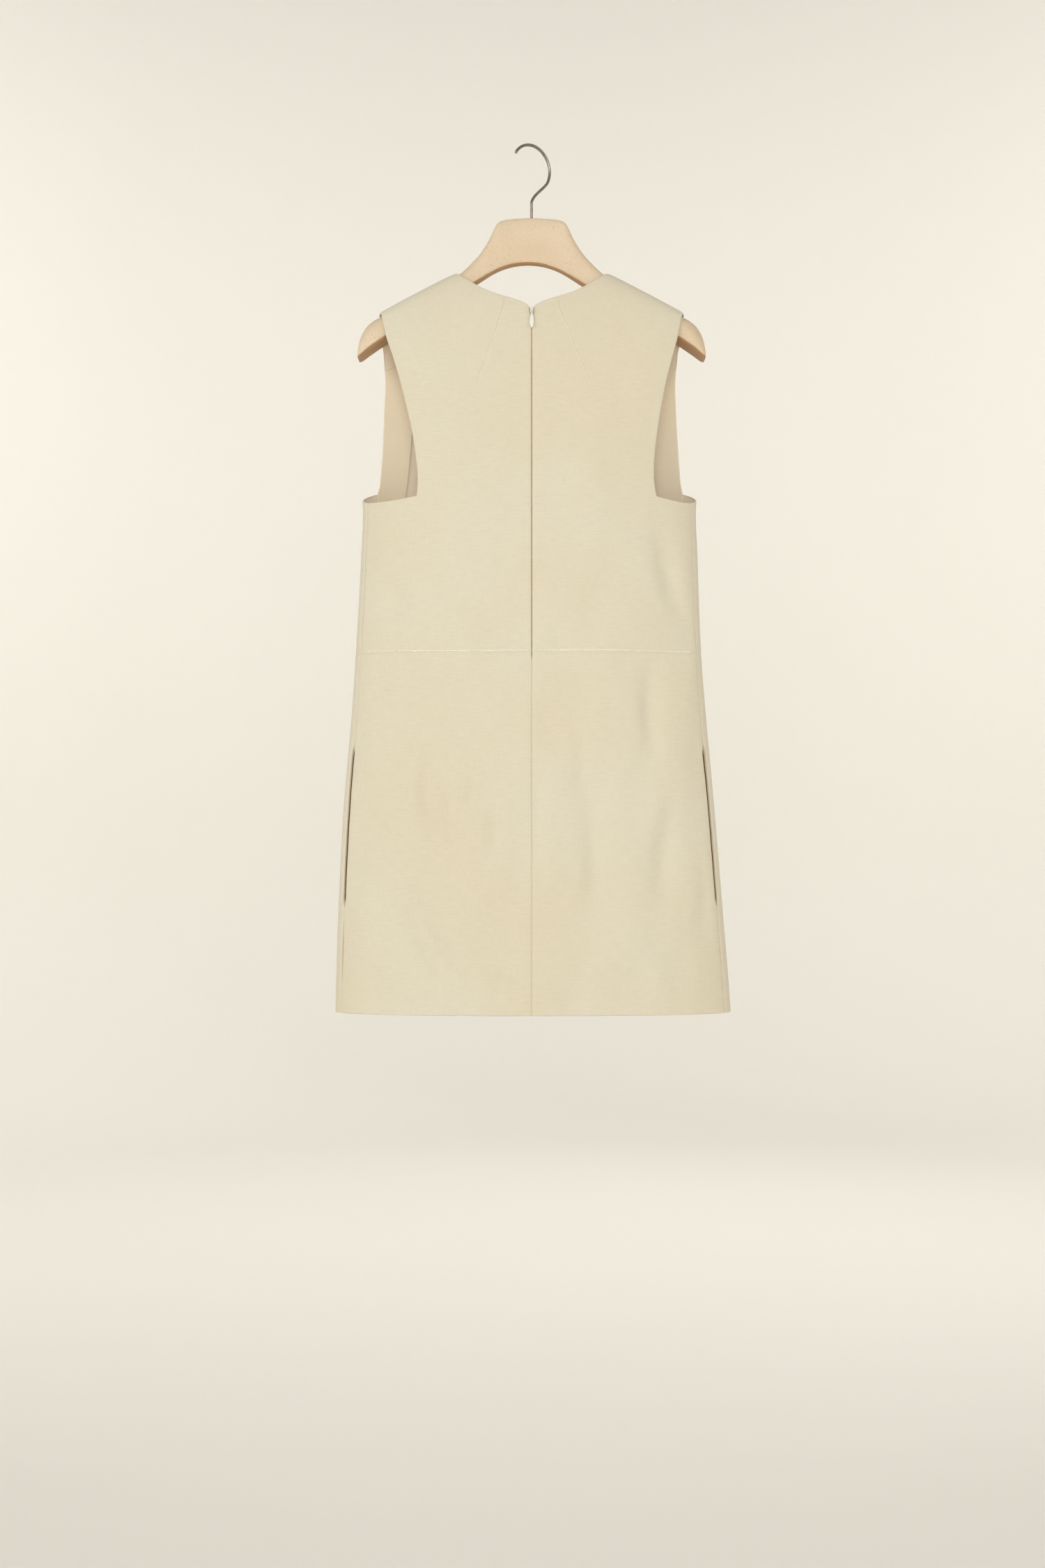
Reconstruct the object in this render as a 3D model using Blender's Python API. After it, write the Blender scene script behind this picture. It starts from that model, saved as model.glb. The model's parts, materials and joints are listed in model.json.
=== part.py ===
"""A sleeveless A-line shift dress on a broad-shouldered hanger.

+Z is up and the origin is the underside of the hook's bend, where a rod bears.  The back of the
dress faces +Y and its front -Y; +X is its left side as seen from behind.  Every panel is a wall
of cloth: its outer points lie on one shared surface, and its inner points are those points moved
in along the surface's normal.  Lengths are in millimetres and MM turns them into metres.
"""
import math

import bmesh
import bpy
import numpy as np
from mathutils import Matrix, Vector

MM = 0.001

# ---- cloth
WALL = 1.4
SEAM_GAP = 0.3
NECK_POINT_Z = -147.0
UNDERARM_Z = -411.0
WAIST_Z = -586.0
HEM_Z = -998.0
SHOULDER_TIP_X = 174.0
SHOULDER_SLOPE = 0.547
SEAM_FORWARD = 9.0

# Horizontal sections of the dress: half widths to its two side folds, depths of back and front
SECTION_COLUMNS = ("z", "left", "right", "back", "front")
SECTIONS = (
    (-998.0, 226.5, 230.0, 47.0, 47.0),
    (-957.0, 225.5, 227.0, 47.5, 47.0),
    (-879.0, 223.0, 220.5, 48.0, 47.5),
    (-763.0, 217.0, 211.0, 48.0, 49.0),
    (-659.0, 208.0, 201.5, 46.0, 48.0),
    (-586.0, 203.0, 195.8, 44.0, 46.0),
    (-474.0, 196.8, 191.6, 46.0, 49.0),
    (-411.0, 195.2, 190.3, 46.5, 50.0),
    (-280.0, 209.0, 206.0, 44.5, 48.0),
    (-147.0, 236.0, 236.0, 44.0, 46.0),
)
SECTION_POWER = 2.3
SIDE_SEAM_INSET = 6.0
SIDE_SEAM_INSET_HEM = 8.0

# The cloth's top line over the hanger, and its roundness from the neck point to the shoulder tip
NECK_POINT_X = 88.0
RIDGE_RISE = 1.2
RIDGE_SOFTNESS = 6.0
RIDGE_POWER_NECK = 2.6
RIDGE_POWER_TIP = 3.8

# Armhole edges from the underarm corner to the shoulder.  Columns: z, half width x
BACK_ARMHOLE = {
    1: ((-408.2, 130.8), (-397.0, 129.7), (-384.0, 129.7), (-365.0, 131.4), (-340.0, 135.1),
        (-310.0, 141.5), (-280.0, 149.0), (-252.0, 157.0), (-225.0, 166.0)),
    -1: ((-408.2, 142.1), (-397.0, 139.9), (-384.0, 139.0), (-365.0, 139.7), (-340.0, 142.4),
         (-310.0, 146.9), (-280.0, 152.6), (-252.0, 159.6), (-225.0, 166.8)),
}
FRONT_ARMHOLE = {
    1: ((-396.5, 179.8), (-390.0, 178.0), (-381.0, 176.8), (-360.0, 175.2), (-337.0, 173.8),
        (-301.0, 172.4), (-265.0, 171.0), (-225.0, 170.6)),
    -1: ((-396.5, 176.6), (-390.0, 175.2), (-381.0, 174.2), (-360.0, 172.6), (-337.0, 171.2),
         (-301.0, 169.2), (-265.0, 168.4), (-225.0, 169.0)),
}
# Underarm edges, from the armhole's corner to the side seam.  Columns: share of the way, z
BACK_UNDERARM = ((0.0, -408.2), (0.2, -411.0), (0.5, -413.4), (0.8, -412.4), (1.0, -411.0))
FRONT_UNDERARM = ((0.0, -396.5), (0.25, -400.5), (0.6, -405.5), (0.85, -409.0), (1.0, -411.0))

# Necklines, from the centre to the split where the edge turns up over the shoulder.  Columns: x, z
BACK_NECKLINE = ((0.0, -190.0), (10.0, -186.0), (21.0, -181.8), (32.0, -178.3), (45.0, -173.8),
                 (58.0, -167.5), (70.0, -160.0), (79.0, -153.6))
FRONT_NECKLINE = ((0.0, -234.0), (16.0, -232.6), (32.0, -228.0), (47.0, -219.5), (60.0, -207.0))
# From the split up to the shoulder seam.  Columns: x, distance down the cloth from its top line
BACK_NECK_SIDE = ((84.5, 10.0), (87.6, 2.0), (88.6, -4.0), (89.2, -SEAM_FORWARD))
FRONT_NECK_SIDE = ((71.0, 46.0), (79.5, 29.0), (86.0, 15.0), (89.2, SEAM_FORWARD + SEAM_GAP))
BACK_STRIP_DROP = 15.0
FRONT_STRIP_DROP = 62.0
STRIP_CLEARANCE = 8.0
STRIP_EDGE_HASTE = 1.6

# Centre-back zip
ZIP_END_Z = -592.0
# Columns: distance below the neck edge, half the gap between the two halves of the back
ZIP_EDGE = ((0.0, 3.6), (9.5, 2.3), (13.3, 0.45))
ZIP_TAPE_THICKNESS = 0.9

# Pocket slits in the side seams, and their bags
POCKET_TOP_Z = -690.0
POCKET_BOTTOM_Z = -878.0
POCKET_SLIT = 2.0
POCKET_TAPER_SHARE = 0.12
BAG_WALL = 1.0
BAG_HOLLOW = 1.2
BAG_LEVELS = (-920.0, -884.0, -870.0, -830.0, -790.0, -750.0, -706.0, -692.0, -660.0)

# Facings inside the front armholes
FACING_WALL = 1.0

# Broad soft folds: a trough where depth is negative.  x is positive on the garment's left.
FOLD_COLUMNS = ("panel", "x_top", "z_top", "x_bottom", "z_bottom", "half_width", "depth")
FOLDS = (
    ("back", -138.0, -415.0, -176.0, -580.0, 15.0, -2.6),
    ("back", -133.0, -590.0, -140.0, -735.0, 17.0, -2.2),
    ("back", -50.0, -620.0, -78.0, -930.0, 21.0, -2.8),
    ("back", -14.0, -700.0, -20.0, -960.0, 13.0, 1.8),
    ("back", 122.0, -640.0, 112.0, -830.0, 20.0, -2.4),
    ("back", 48.0, -690.0, 42.0, -880.0, 18.0, 1.8),
    ("back", 140.0, -850.0, 88.0, -985.0, 20.0, -3.0),
    ("back", 62.0, -300.0, 84.0, -520.0, 26.0, 2.0),
    ("back", -66.0, -300.0, -82.0, -540.0, 24.0, 2.0),
    ("front", 70.0, -330.0, 96.0, -590.0, 24.0, 2.4),
    ("front", -78.0, -330.0, -92.0, -570.0, 26.0, 2.2),
    ("front", 60.0, -640.0, 82.0, -970.0, 22.0, -2.8),
    ("front", -118.0, -620.0, -128.0, -900.0, 20.0, -2.4),
    ("front", -30.0, -720.0, -24.0, -1010.0, 18.0, 2.0),
)
FOLD_FADE_SIDE = 0.90
FOLD_FADE_TOP = 60.0

# Hanger: its top edge (columns: x, z), then its lower edge and half thickness
HANGER_TOP = (
    (0.0, -82.7), (20.0, -83.7), (34.0, -85.6), (39.0, -88.4), (43.0, -95.0), (49.0, -107.6),
    (58.5, -122.8), (69.7, -135.2), (79.0, -144.2), (88.0, -150.6), (130.0, -172.9),
    (172.0, -196.0), (182.0, -201.6), (190.5, -209.0), (197.0, -221.0), (199.8, -235.0),
)
HANGER_LOW_COLUMNS = ("x", "bottom_z", "half_thickness")
HANGER_LOW = (
    (0.0, -135.1, 8.0), (20.0, -137.2, 8.1), (34.0, -142.6, 8.5), (50.0, -152.0, 9.4),
    (64.0, -160.2, 10.3), (88.0, -175.2, 12.0), (130.0, -201.5, 17.4), (168.0, -225.2, 20.6),
    (186.0, -237.4, 21.0), (197.0, -245.6, 18.5), (199.8, -246.2, 15.5),
)
HANGER_STATIONS = 24
HANGER_SECTION_POINTS = 14
HANGER_WIDEST_SHARE = 0.30
HANGER_POWER_MIDDLE = 3.6
HANGER_POWER_END = 2.0
HANGER_POWER_BELOW = 4.5
HANGER_MIDDLE_REACH = 90.0

# Hook: one wire in an upright plane turned from the hanger's
WIRE_RADIUS = 1.75
HOOK_RADIUS = 26.5
HOOK_TIP_ANGLE = 33.0
HOOK_ARC_END = 208.0
HOOK_TURN = 37.0
HOOK_STEM_TOP_Z = -61.0
HOOK_STEM_BOTTOM_Z = -97.0
HOOK_ARC_STEPS = 17
HOOK_SLANT_SHARES = (0.4, 0.8, 0.93)
HOOK_BEND = 4.0
HOOK_HOLE_RADIUS = 2.1
HOOK_HOLE_SIDES = 16
HOOK_HOLE_CUTTER_LENGTH = 24.0

# Zip slider and pull tab, in a frame that lies along the cloth at the neck
SLIDER_WIDTH = 3.6
SLIDER_HEIGHT = 8.4
SLIDER_DEPTH = 2.4
SLIDER_PROUD = 1.0
SLIDER_TOP_Z = -190.3
SLIDER_BEVEL = 0.5
BAIL_RADIUS = 1.9
BAIL_DROP = 1.5
BAIL_WIRE_RADIUS = 0.5
BAIL_LEG = 1.3
BAIL_ROOT = 0.8
BAIL_STEPS = 10
TAB_LENGTH = 20.0
TAB_HALF_WIDTH = 2.3
TAB_RING_RADIUS = 1.9
TAB_HOLE_RADIUS = 1.1
TAB_THICKNESS = 0.8
TAB_SAG = 0.25
TAB_SHOULDER_ANGLE = 76.0
TAB_RING_STEPS = 8
TAB_SIDE_STEPS = 5
TAB_END_STEPS = 6
TAB_HOLE_SIDES = 14

# Grid of a half panel
NECK_COLUMNS = 6
ARMHOLE_COLUMN = 12
BACK_SIDE_COLUMN = 17
FRONT_SIDE_COLUMN = 18
BODICE_LOW_ROWS = 6
SKIRT_LEVELS = (HEM_Z, -960.0) + BAG_LEVELS + (-622.0, WAIST_Z - 0.5 * SEAM_GAP)
CHEST_ROW_SHARES = (0.0, 0.17, 0.34, 0.50, 0.64, 0.76, 0.855, 0.915, 0.94, 0.957, 1.0)
STRIP_ROWS = 4
FACING_COLUMNS = 2
FACING_TOP_ROW = 11
BAG_COLUMNS = 10
ZIP_TAPE_TOP_ROW = 16
BEND_SAMPLES = 90
TURN_STEP = 0.002
HEIGHT_STEP = 0.5
CLOTH_STEP = 0.3
BODY_AXIS_DROP = 60.0
BACK, FRONT = 1, -1
LEFT, RIGHT = 1, -1

# ---- colours, linear
COLORS = {
    "dress_cloth": (0.76, 0.68, 0.51),
    "facing_cloth": (0.68, 0.56, 0.38),
    "zip_white": (0.86, 0.85, 0.80),
    "zip_pull": (0.88, 0.87, 0.83),
    "hanger_body": (0.76, 0.62, 0.44),
    "hook_steel": (0.45, 0.42, 0.38),
}
SHARP_EDGE_ANGLE = 50.0


def ease(share):
    """Smooth step from 0 to 1."""
    share = min(max(share, 0.0), 1.0)
    return share * share * (3.0 - 2.0 * share)


def curve_through(xs, ys, x):
    """Value at x of a smooth curve through the points, whose xs rise."""
    if x <= xs[0] or x >= xs[-1]:
        end = 0 if x <= xs[0] else -1
        inner = 1 if end == 0 else -2
        slope = (ys[end] - ys[inner]) / (xs[end] - xs[inner])
        return ys[end] + slope * (x - xs[end])
    low = int(np.searchsorted(xs, x, side="right")) - 1
    span = xs[low + 1] - xs[low]

    def slope_at(k):
        before, after = max(k - 1, 0), min(k + 1, len(xs) - 1)
        return (ys[after] - ys[before]) / (xs[after] - xs[before])

    t = (x - xs[low]) / span
    keep, turn = 1.0 - ease(t), ease(t)
    rise_in = (t - 2 * t * t + t ** 3) * span * slope_at(low)
    rise_out = (t ** 3 - t * t) * span * slope_at(low + 1)
    return keep * ys[low] + turn * ys[low + 1] + rise_in + rise_out


def column(rows, names, name):
    """One named column of a table, ordered by its first column."""
    ordered = sorted(rows, key=lambda row: row[0])
    return [row[names.index(name)] for row in ordered]


SECTION = {name: column(SECTIONS, SECTION_COLUMNS, name) for name in SECTION_COLUMNS}
HANGER_EDGE = {name: column(HANGER_LOW, HANGER_LOW_COLUMNS, name) for name in HANGER_LOW_COLUMNS}
FOLD_ROWS = [dict(zip(FOLD_COLUMNS, row)) for row in FOLDS]


def half_width(side, z):
    """Distance from the middle to the side fold of the dress at a height."""
    return curve_through(SECTION["z"], SECTION["left" if side == LEFT else "right"], z)


def full_depth(face, z):
    """Distance from the hanger's plane to the middle of the back or front at a height."""
    return curve_through(SECTION["z"], SECTION["back" if face == BACK else "front"], z)


def ridge_z(x):
    """Height of the cloth's top line over the hanger."""
    reach = abs(x) - NECK_POINT_X
    softened = 0.5 * (reach + math.hypot(reach, RIDGE_SOFTNESS))
    return NECK_POINT_Z + RIDGE_RISE - SHOULDER_SLOPE * softened


def ridge_power(x):
    """Roundness of the bend over the hanger."""
    share = (abs(x) - NECK_POINT_X) / (SHOULDER_TIP_X - NECK_POINT_X)
    return RIDGE_POWER_NECK + (RIDGE_POWER_TIP - RIDGE_POWER_NECK) * ease(share)


def fold_depth(face, x, z):
    """How far the broad folds move the cloth out at a place."""
    side = LEFT if x >= 0 else RIGHT
    aside = abs(x) / half_width(side, z)
    fade = ease((1.0 - aside) / (1.0 - FOLD_FADE_SIDE)) * ease((ridge_z(x) - z) / FOLD_FADE_TOP)
    total = 0.0
    for fold in FOLD_ROWS:
        share = (fold["z_top"] - z) / (fold["z_top"] - fold["z_bottom"])
        if (fold["panel"] == "back") != (face == BACK) or not 0.0 < share < 1.0:
            continue
        middle = fold["x_top"] + (fold["x_bottom"] - fold["x_top"]) * share
        off = (x - middle) / fold["half_width"]
        total += fold["depth"] * math.exp(-off * off) * math.sin(math.pi * share)
    return total * fade


def flat_share(x, z):
    """Share of the full depth that the rounded section has at x."""
    side = LEFT if x >= 0 else RIGHT
    aside = min(abs(x) / half_width(side, z), 1.0)
    return (1.0 - aside ** SECTION_POWER) ** (1.0 / SECTION_POWER)


def bend_over_hanger(face, x):
    """Distances down the cloth from its top line, with depth and height at each."""
    height = ridge_z(x) - UNDERARM_Z
    power = ridge_power(x)
    turns = np.linspace(0.0, math.pi / 2.0, BEND_SAMPLES) ** 2 / (math.pi / 2.0)
    zs = ridge_z(x) - height * (1.0 - np.cos(turns) ** (2.0 / power))
    ys = np.array([full_depth(face, z) * flat_share(x, z) for z in zs]) * np.sin(turns) ** (2.0 / power)
    drops = np.concatenate(([0.0], np.cumsum(np.hypot(np.diff(ys), np.diff(zs)))))
    return drops, ys, zs


def cloth_below_ridge(face, x, drop):
    """Point of the cloth a given distance down from its top line; negative crosses over it."""
    if drop < 0.0:
        return cloth_below_ridge(-face, x, -drop)
    drops, ys, zs = bend_over_hanger(face, x)
    z = float(np.interp(drop, drops, zs))
    y = float(np.interp(drop, drops, ys))
    return Vector((x, face * (y + fold_depth(face, x, z)), z))


def drop_to(face, x, z):
    """Distance down the cloth from its top line to a height."""
    drops, _, zs = bend_over_hanger(face, x)
    return float(np.interp(-z, -zs, drops))


def turn_at(side, x, z):
    """Angle round a section, from the centre back, at which the section reaches x."""
    return math.asin(min(abs(x) / half_width(side, z), 1.0) ** (SECTION_POWER / 2.0))


def cloth_on_section(side, turn, z):
    """Point of the cloth at an angle round its section, from the centre back."""
    face = BACK if math.cos(turn) > 0.0 else FRONT
    aside = math.copysign(abs(math.sin(turn)) ** (2.0 / SECTION_POWER), math.sin(turn))
    x = side * half_width(side, z) * aside
    y = full_depth(face, z) * abs(math.cos(turn)) ** (2.0 / SECTION_POWER)
    return Vector((x, face * (y + fold_depth(face, x, z)), z))


def with_normal(place, a, b, step_a, step_b):
    """A point of the cloth and its outward normal, from two steps along the surface."""
    point = place(a, b)
    along = place(a + step_a, b) - place(a - step_a, b)
    down = place(a, b + step_b) - place(a, b - step_b)
    normal = along.cross(down).normalized()
    inside = Vector((0.0, 0.0, point.z - BODY_AXIS_DROP))
    if normal.dot(point - inside) < 0.0:
        normal.negate()
    return point, normal


def section_place(side, turn, z):
    """Point and normal on a section."""
    return with_normal(lambda a, b: cloth_on_section(side, a, b), turn, z, TURN_STEP, HEIGHT_STEP)


def ridge_place(face, x, drop):
    """Point and normal on the part that hangs over the hanger."""
    return with_normal(lambda a, b: cloth_below_ridge(face, a, b), x, drop, CLOTH_STEP, CLOTH_STEP)


def side_seam_turn(side, z):
    """Angle round the section of the side seam's middle."""
    share = (z - UNDERARM_Z) / (HEM_Z - UNDERARM_Z)
    inset = SIDE_SEAM_INSET + (SIDE_SEAM_INSET_HEM - SIDE_SEAM_INSET) * share
    return turn_at(side, half_width(side, z) - inset, z)


def turn_for_length(side, turn, z, length):
    """Change of angle that moves a point by a length round the section."""
    before = cloth_on_section(side, turn - TURN_STEP, z)
    after = cloth_on_section(side, turn + TURN_STEP, z)
    return length * 2.0 * TURN_STEP / (after - before).length


def pocket_gap(z):
    """Half the width of the side seam's opening at a height: a slit at the pocket."""
    share = (z - POCKET_BOTTOM_Z) / (POCKET_TOP_Z - POCKET_BOTTOM_Z)
    open_share = ease(share / POCKET_TAPER_SHARE) * ease((1.0 - share) / POCKET_TAPER_SHARE)
    return 0.5 * (SEAM_GAP + (POCKET_SLIT - SEAM_GAP) * open_share)


def centre_gap(face, z):
    """Half the gap between the back's two halves at a height, wide round the zip's slider."""
    if face == FRONT:
        return 0.0
    if z < ZIP_END_Z:
        return 0.5 * SEAM_GAP
    below_neck = BACK_NECKLINE[0][1] - z
    return float(np.interp(below_neck, *zip(*ZIP_EDGE)))


def armhole_corner(face, side):
    """Height and half width of the corner where the armhole meets the underarm edge."""
    return (BACK_ARMHOLE if face == BACK else FRONT_ARMHOLE)[side][0]


def underarm_z(face, col):
    """Height of the bodice's underarm row at a column."""
    corner_z = armhole_corner(face, LEFT)[0]
    if col <= ARMHOLE_COLUMN:
        return UNDERARM_Z + (corner_z - UNDERARM_Z) * (col / ARMHOLE_COLUMN) ** 4
    table = BACK_UNDERARM if face == BACK else FRONT_UNDERARM
    last = BACK_SIDE_COLUMN if face == BACK else FRONT_SIDE_COLUMN
    share = (col - ARMHOLE_COLUMN) / (last - ARMHOLE_COLUMN)
    return curve_through([row[0] for row in table], [row[1] for row in table], share)


def section_column(face, side, col, z):
    """Angle round the section of a half panel's column: centre, armhole line, side seam."""
    corner_z, corner_x = armhole_corner(face, side)
    reach = corner_x * half_width(side, z) / half_width(side, corner_z)
    gap = centre_gap(face, z)
    inner = gap + (reach - gap) * min(col / ARMHOLE_COLUMN, 1.0)
    turn = turn_at(side, inner, z)
    if face == FRONT:
        turn = math.pi - turn
    if col > ARMHOLE_COLUMN:
        last = BACK_SIDE_COLUMN if face == BACK else FRONT_SIDE_COLUMN
        seam = side_seam_turn(side, z)
        seam -= face * turn_for_length(side, seam, z, pocket_gap(z))
        turn += (seam - turn) * (col - ARMHOLE_COLUMN) / (last - ARMHOLE_COLUMN)
    return turn


def resample(points, share):
    """Point at a share of the length of a smooth curve through points of a plane."""
    lengths = [0.0]
    for before, after in zip(points, points[1:]):
        lengths.append(lengths[-1] + math.dist(before, after))
    at = share * lengths[-1]
    return tuple(curve_through(lengths, [point[k] for point in points], at) for k in (0, 1))


def armhole_line(face, side):
    """Armhole edge from its corner to the strip over the hanger, as x and distance down."""
    table = (BACK_ARMHOLE if face == BACK else FRONT_ARMHOLE)[side]
    line = [(x, drop_to(face, side * x, z)) for z, x in table]
    strip = BACK_STRIP_DROP if face == BACK else FRONT_STRIP_DROP
    line = [point for point in line if point[1] > strip + STRIP_CLEARANCE]
    share = (line[-1][1] - strip) / line[-1][1]
    line.append((line[-1][0] + (SHOULDER_TIP_X - line[-1][0]) * share, strip))
    return line


def neck_line(face, side):
    """Neckline from the centre to its split, as x and distance down."""
    table = BACK_NECKLINE if face == BACK else FRONT_NECKLINE
    line = [(x, drop_to(face, side * x, z)) for x, z in table]
    line[0] = (centre_gap(face, table[0][1]), line[0][1])
    return line


def chest_place(face, side, col, row_share, lines):
    """Chest block: between the underarm row, the neckline, the centre and the armhole."""
    neck, armhole = lines
    u = col / ARMHOLE_COLUMN
    corner_x = armhole_corner(face, side)[1]

    def bottom(share):
        z = underarm_z(face, share * ARMHOLE_COLUMN)
        gap = centre_gap(face, z)
        x = gap + (corner_x - gap) * share
        return x, drop_to(face, side * x, z)

    def top(share):
        split = NECK_COLUMNS / ARMHOLE_COLUMN
        if share <= split:
            return resample(neck, share / split)
        along = (share - split) / (1.0 - split)
        return tuple(neck[-1][k] + (armhole[-1][k] - neck[-1][k]) * along for k in (0, 1))

    def centre(share):
        drop = bottom(0.0)[1] + (neck[0][1] - bottom(0.0)[1]) * share
        z = cloth_below_ridge(face, 0.0, drop).z
        return centre_gap(face, z), drop

    v = row_share
    low, high, left, right = bottom(u), top(u), centre(v), resample(armhole, v)
    corners = (bottom(0.0), bottom(1.0), top(0.0), top(1.0))
    weights = ((1 - u) * (1 - v), u * (1 - v), (1 - u) * v, u * v)
    x, drop = ((1 - v) * low[k] + v * high[k] + (1 - u) * left[k] + u * right[k]
               - sum(weight * corner[k] for weight, corner in zip(weights, corners))
               for k in (0, 1))
    return ridge_place(face, side * x, drop)


def strip_place(face, side, col, row_share, lines):
    """Strip over the hanger: from the neck edge to the armhole edge."""
    neck, armhole = lines
    table = BACK_NECK_SIDE if face == BACK else FRONT_NECK_SIDE
    inner = resample([neck[-1], *table], row_share)
    seam_drop = table[-1][1]
    to_tip = ease(row_share * STRIP_EDGE_HASTE)
    outer = (armhole[-1][0] + (SHOULDER_TIP_X - armhole[-1][0]) * to_tip,
             armhole[-1][1] + (seam_drop - armhole[-1][1]) * row_share)
    u = (col - NECK_COLUMNS) / (ARMHOLE_COLUMN - NECK_COLUMNS)
    x, drop = (inner[k] + (outer[k] - inner[k]) * u for k in (0, 1))
    return ridge_place(face, side * x, drop)


def bodice_place(face, side, col, row, lines):
    """Point and normal of a half bodice at a column and row of its grid."""
    if row <= BODICE_LOW_ROWS:
        low = WAIST_Z + 0.5 * SEAM_GAP
        z = low + (underarm_z(face, col) - low) * row / BODICE_LOW_ROWS
        return section_place(side, section_column(face, side, col, z), z)
    row -= BODICE_LOW_ROWS
    chest_rows = len(CHEST_ROW_SHARES) - 1
    if row <= chest_rows:
        return chest_place(face, side, col, CHEST_ROW_SHARES[row], lines)
    return strip_place(face, side, col, (row - chest_rows) / STRIP_ROWS, lines)


def skirt_place(face, side, col, row):
    """Point and normal of a half skirt at a column and row of its grid."""
    z = SKIRT_LEVELS[row]
    return section_place(side, section_column(face, side, col, z), z)


# ---- scene helpers

def clear_scene():
    """Remove whatever the scene holds."""
    for item in list(bpy.data.objects):
        bpy.data.objects.remove(item, do_unlink=True)


def new_collection(name):
    """A collection linked to the scene."""
    made = bpy.data.collections.new(name)
    bpy.context.scene.collection.children.link(made)
    return made


def new_material(name, roughness, metallic=0.0):
    """A Principled material with the colour named for it."""
    made = bpy.data.materials.new(name)
    made.use_nodes = True
    shader = made.node_tree.nodes["Principled BSDF"]
    shader.inputs["Base Color"].default_value = (*COLORS[name], 1.0)
    shader.inputs["Roughness"].default_value = roughness
    shader.inputs["Metallic"].default_value = metallic
    return made


def add_object(name, data, material, collection):
    """An object for a sub-part, in its collection."""
    made = bpy.data.objects.new(name, data)
    collection.objects.link(made)
    if material is not None:
        data.materials.append(material)
    return made


def mesh_from_bmesh(name, bm):
    """A mesh of outward faces, shaded smooth but for its edges."""
    bmesh.ops.recalc_face_normals(bm, faces=bm.faces)
    mesh = bpy.data.meshes.new(name)
    bm.to_mesh(mesh)
    bm.free()
    mesh.shade_smooth()
    mesh.set_sharp_from_angle(angle=math.radians(SHARP_EDGE_ANGLE))
    return mesh


def split_cells(bm, cells, rising):
    """Halve each cell along the diagonal that its half panel has, so that layers stay parallel."""
    for face in bm.faces[:]:
        cols = [cells[vert][0] for vert in face.verts]
        rows = [cells[vert][1] for vert in face.verts]
        low_col, high_col = (min(cols), max(cols)) if rising(min(cols)) else (max(cols), min(cols))
        ends = [vert for vert in face.verts
                if cells[vert] in ((low_col, min(rows)), (high_col, max(rows)))]
        bmesh.utils.face_split(face, *ends)


def always(*_):
    """Every cell of a panel."""
    return True


def panel(name, columns, rows, keep, place, wall, material, collection, rising=always):
    """A wall of cloth: a grid laid on the surface, extruded and moved in along its normals."""
    bm = bmesh.new()
    bmesh.ops.create_grid(bm, x_segments=columns, y_segments=rows, size=1.0)
    cells = {vert: (round((vert.co.x + 1.0) * columns / 2.0), round((vert.co.y + 1.0) * rows / 2.0))
             for vert in bm.verts}
    spare = []
    for face in bm.faces:
        col = min(cells[vert][0] for vert in face.verts)
        row = min(cells[vert][1] for vert in face.verts)
        if not keep(col, row):
            spare.append(face)
    bmesh.ops.delete(bm, geom=spare, context="FACES")
    split_cells(bm, cells, rising)
    places = {vert: place(*cells[vert]) for vert in bm.verts}
    inner = bmesh.ops.extrude_face_region(bm, geom=bm.faces[:], use_keep_orig=True)["geom"]
    inner_verts = [item for item in inner if isinstance(item, bmesh.types.BMVert)]
    outer_at = {tuple(vert.co): vert for vert in places}
    for vert in inner_verts:
        point, normal = places[outer_at[tuple(vert.co)]]
        vert.co = (point - normal * wall) * MM
    for vert, (point, _) in places.items():
        vert.co = point * MM
    return add_object(name, mesh_from_bmesh(name, bm), material, collection)


def loft(name, rings, material, collection):
    """A closed solid through rings that have as many points each."""
    bm = bmesh.new()
    loops = [[bm.verts.new(Vector(point) * MM) for point in ring] for ring in rings]
    for before, after in zip(loops, loops[1:]):
        for k in range(len(before)):
            nxt = (k + 1) % len(before)
            bm.faces.new((before[k], before[nxt], after[nxt], after[k]))
    bm.faces.new(loops[0])
    bm.faces.new(loops[-1])
    return add_object(name, mesh_from_bmesh(name, bm), material, collection)


def wire(name, points, radius, material, collection):
    """A round wire through points, made a closed mesh."""
    curve = bpy.data.curves.new(name, "CURVE")
    curve.dimensions = "3D"
    curve.bevel_depth = radius * MM
    curve.bevel_resolution = 2
    curve.use_fill_caps = True
    spline = curve.splines.new("POLY")
    spline.points.add(len(points) - 1)
    for spot, point in zip(spline.points, points):
        spot.co = (*(Vector(point) * MM), 1.0)
    return mesh_of_curve(name, curve, material, collection)


def mesh_of_curve(name, curve, material, collection):
    """Turn a curve into a mesh object with welded caps."""
    guide = add_object(name + "_guide", curve, None, collection)
    bpy.context.view_layer.update()
    evaluated = guide.evaluated_get(bpy.context.evaluated_depsgraph_get())
    mesh = bpy.data.meshes.new_from_object(evaluated)
    bpy.data.objects.remove(guide, do_unlink=True)
    bm = bmesh.new()
    bm.from_mesh(mesh)
    bmesh.ops.remove_doubles(bm, verts=bm.verts, dist=1e-6)
    bpy.data.meshes.remove(mesh)
    return add_object(name, mesh_from_bmesh(name, bm), material, collection)


def combine(target, tool, operation):
    """Cut a tool from a part, or join it on, and leave the tool as a cutter."""
    tool.hide_render = True
    tool.display_type = "WIRE"
    change = target.modifiers.new(operation.lower(), "BOOLEAN")
    change.operation = operation
    change.solver = "EXACT"
    change.object = tool


# ---- the dress

def half_bodice_kept(face):
    """Cells of a half bodice that are cloth: the neck and armhole cells are cut away."""
    chest_rows = BODICE_LOW_ROWS + len(CHEST_ROW_SHARES) - 1

    def keep(col, row):
        if col >= ARMHOLE_COLUMN:
            return row < BODICE_LOW_ROWS
        return row < chest_rows or col >= NECK_COLUMNS

    return keep


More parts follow.
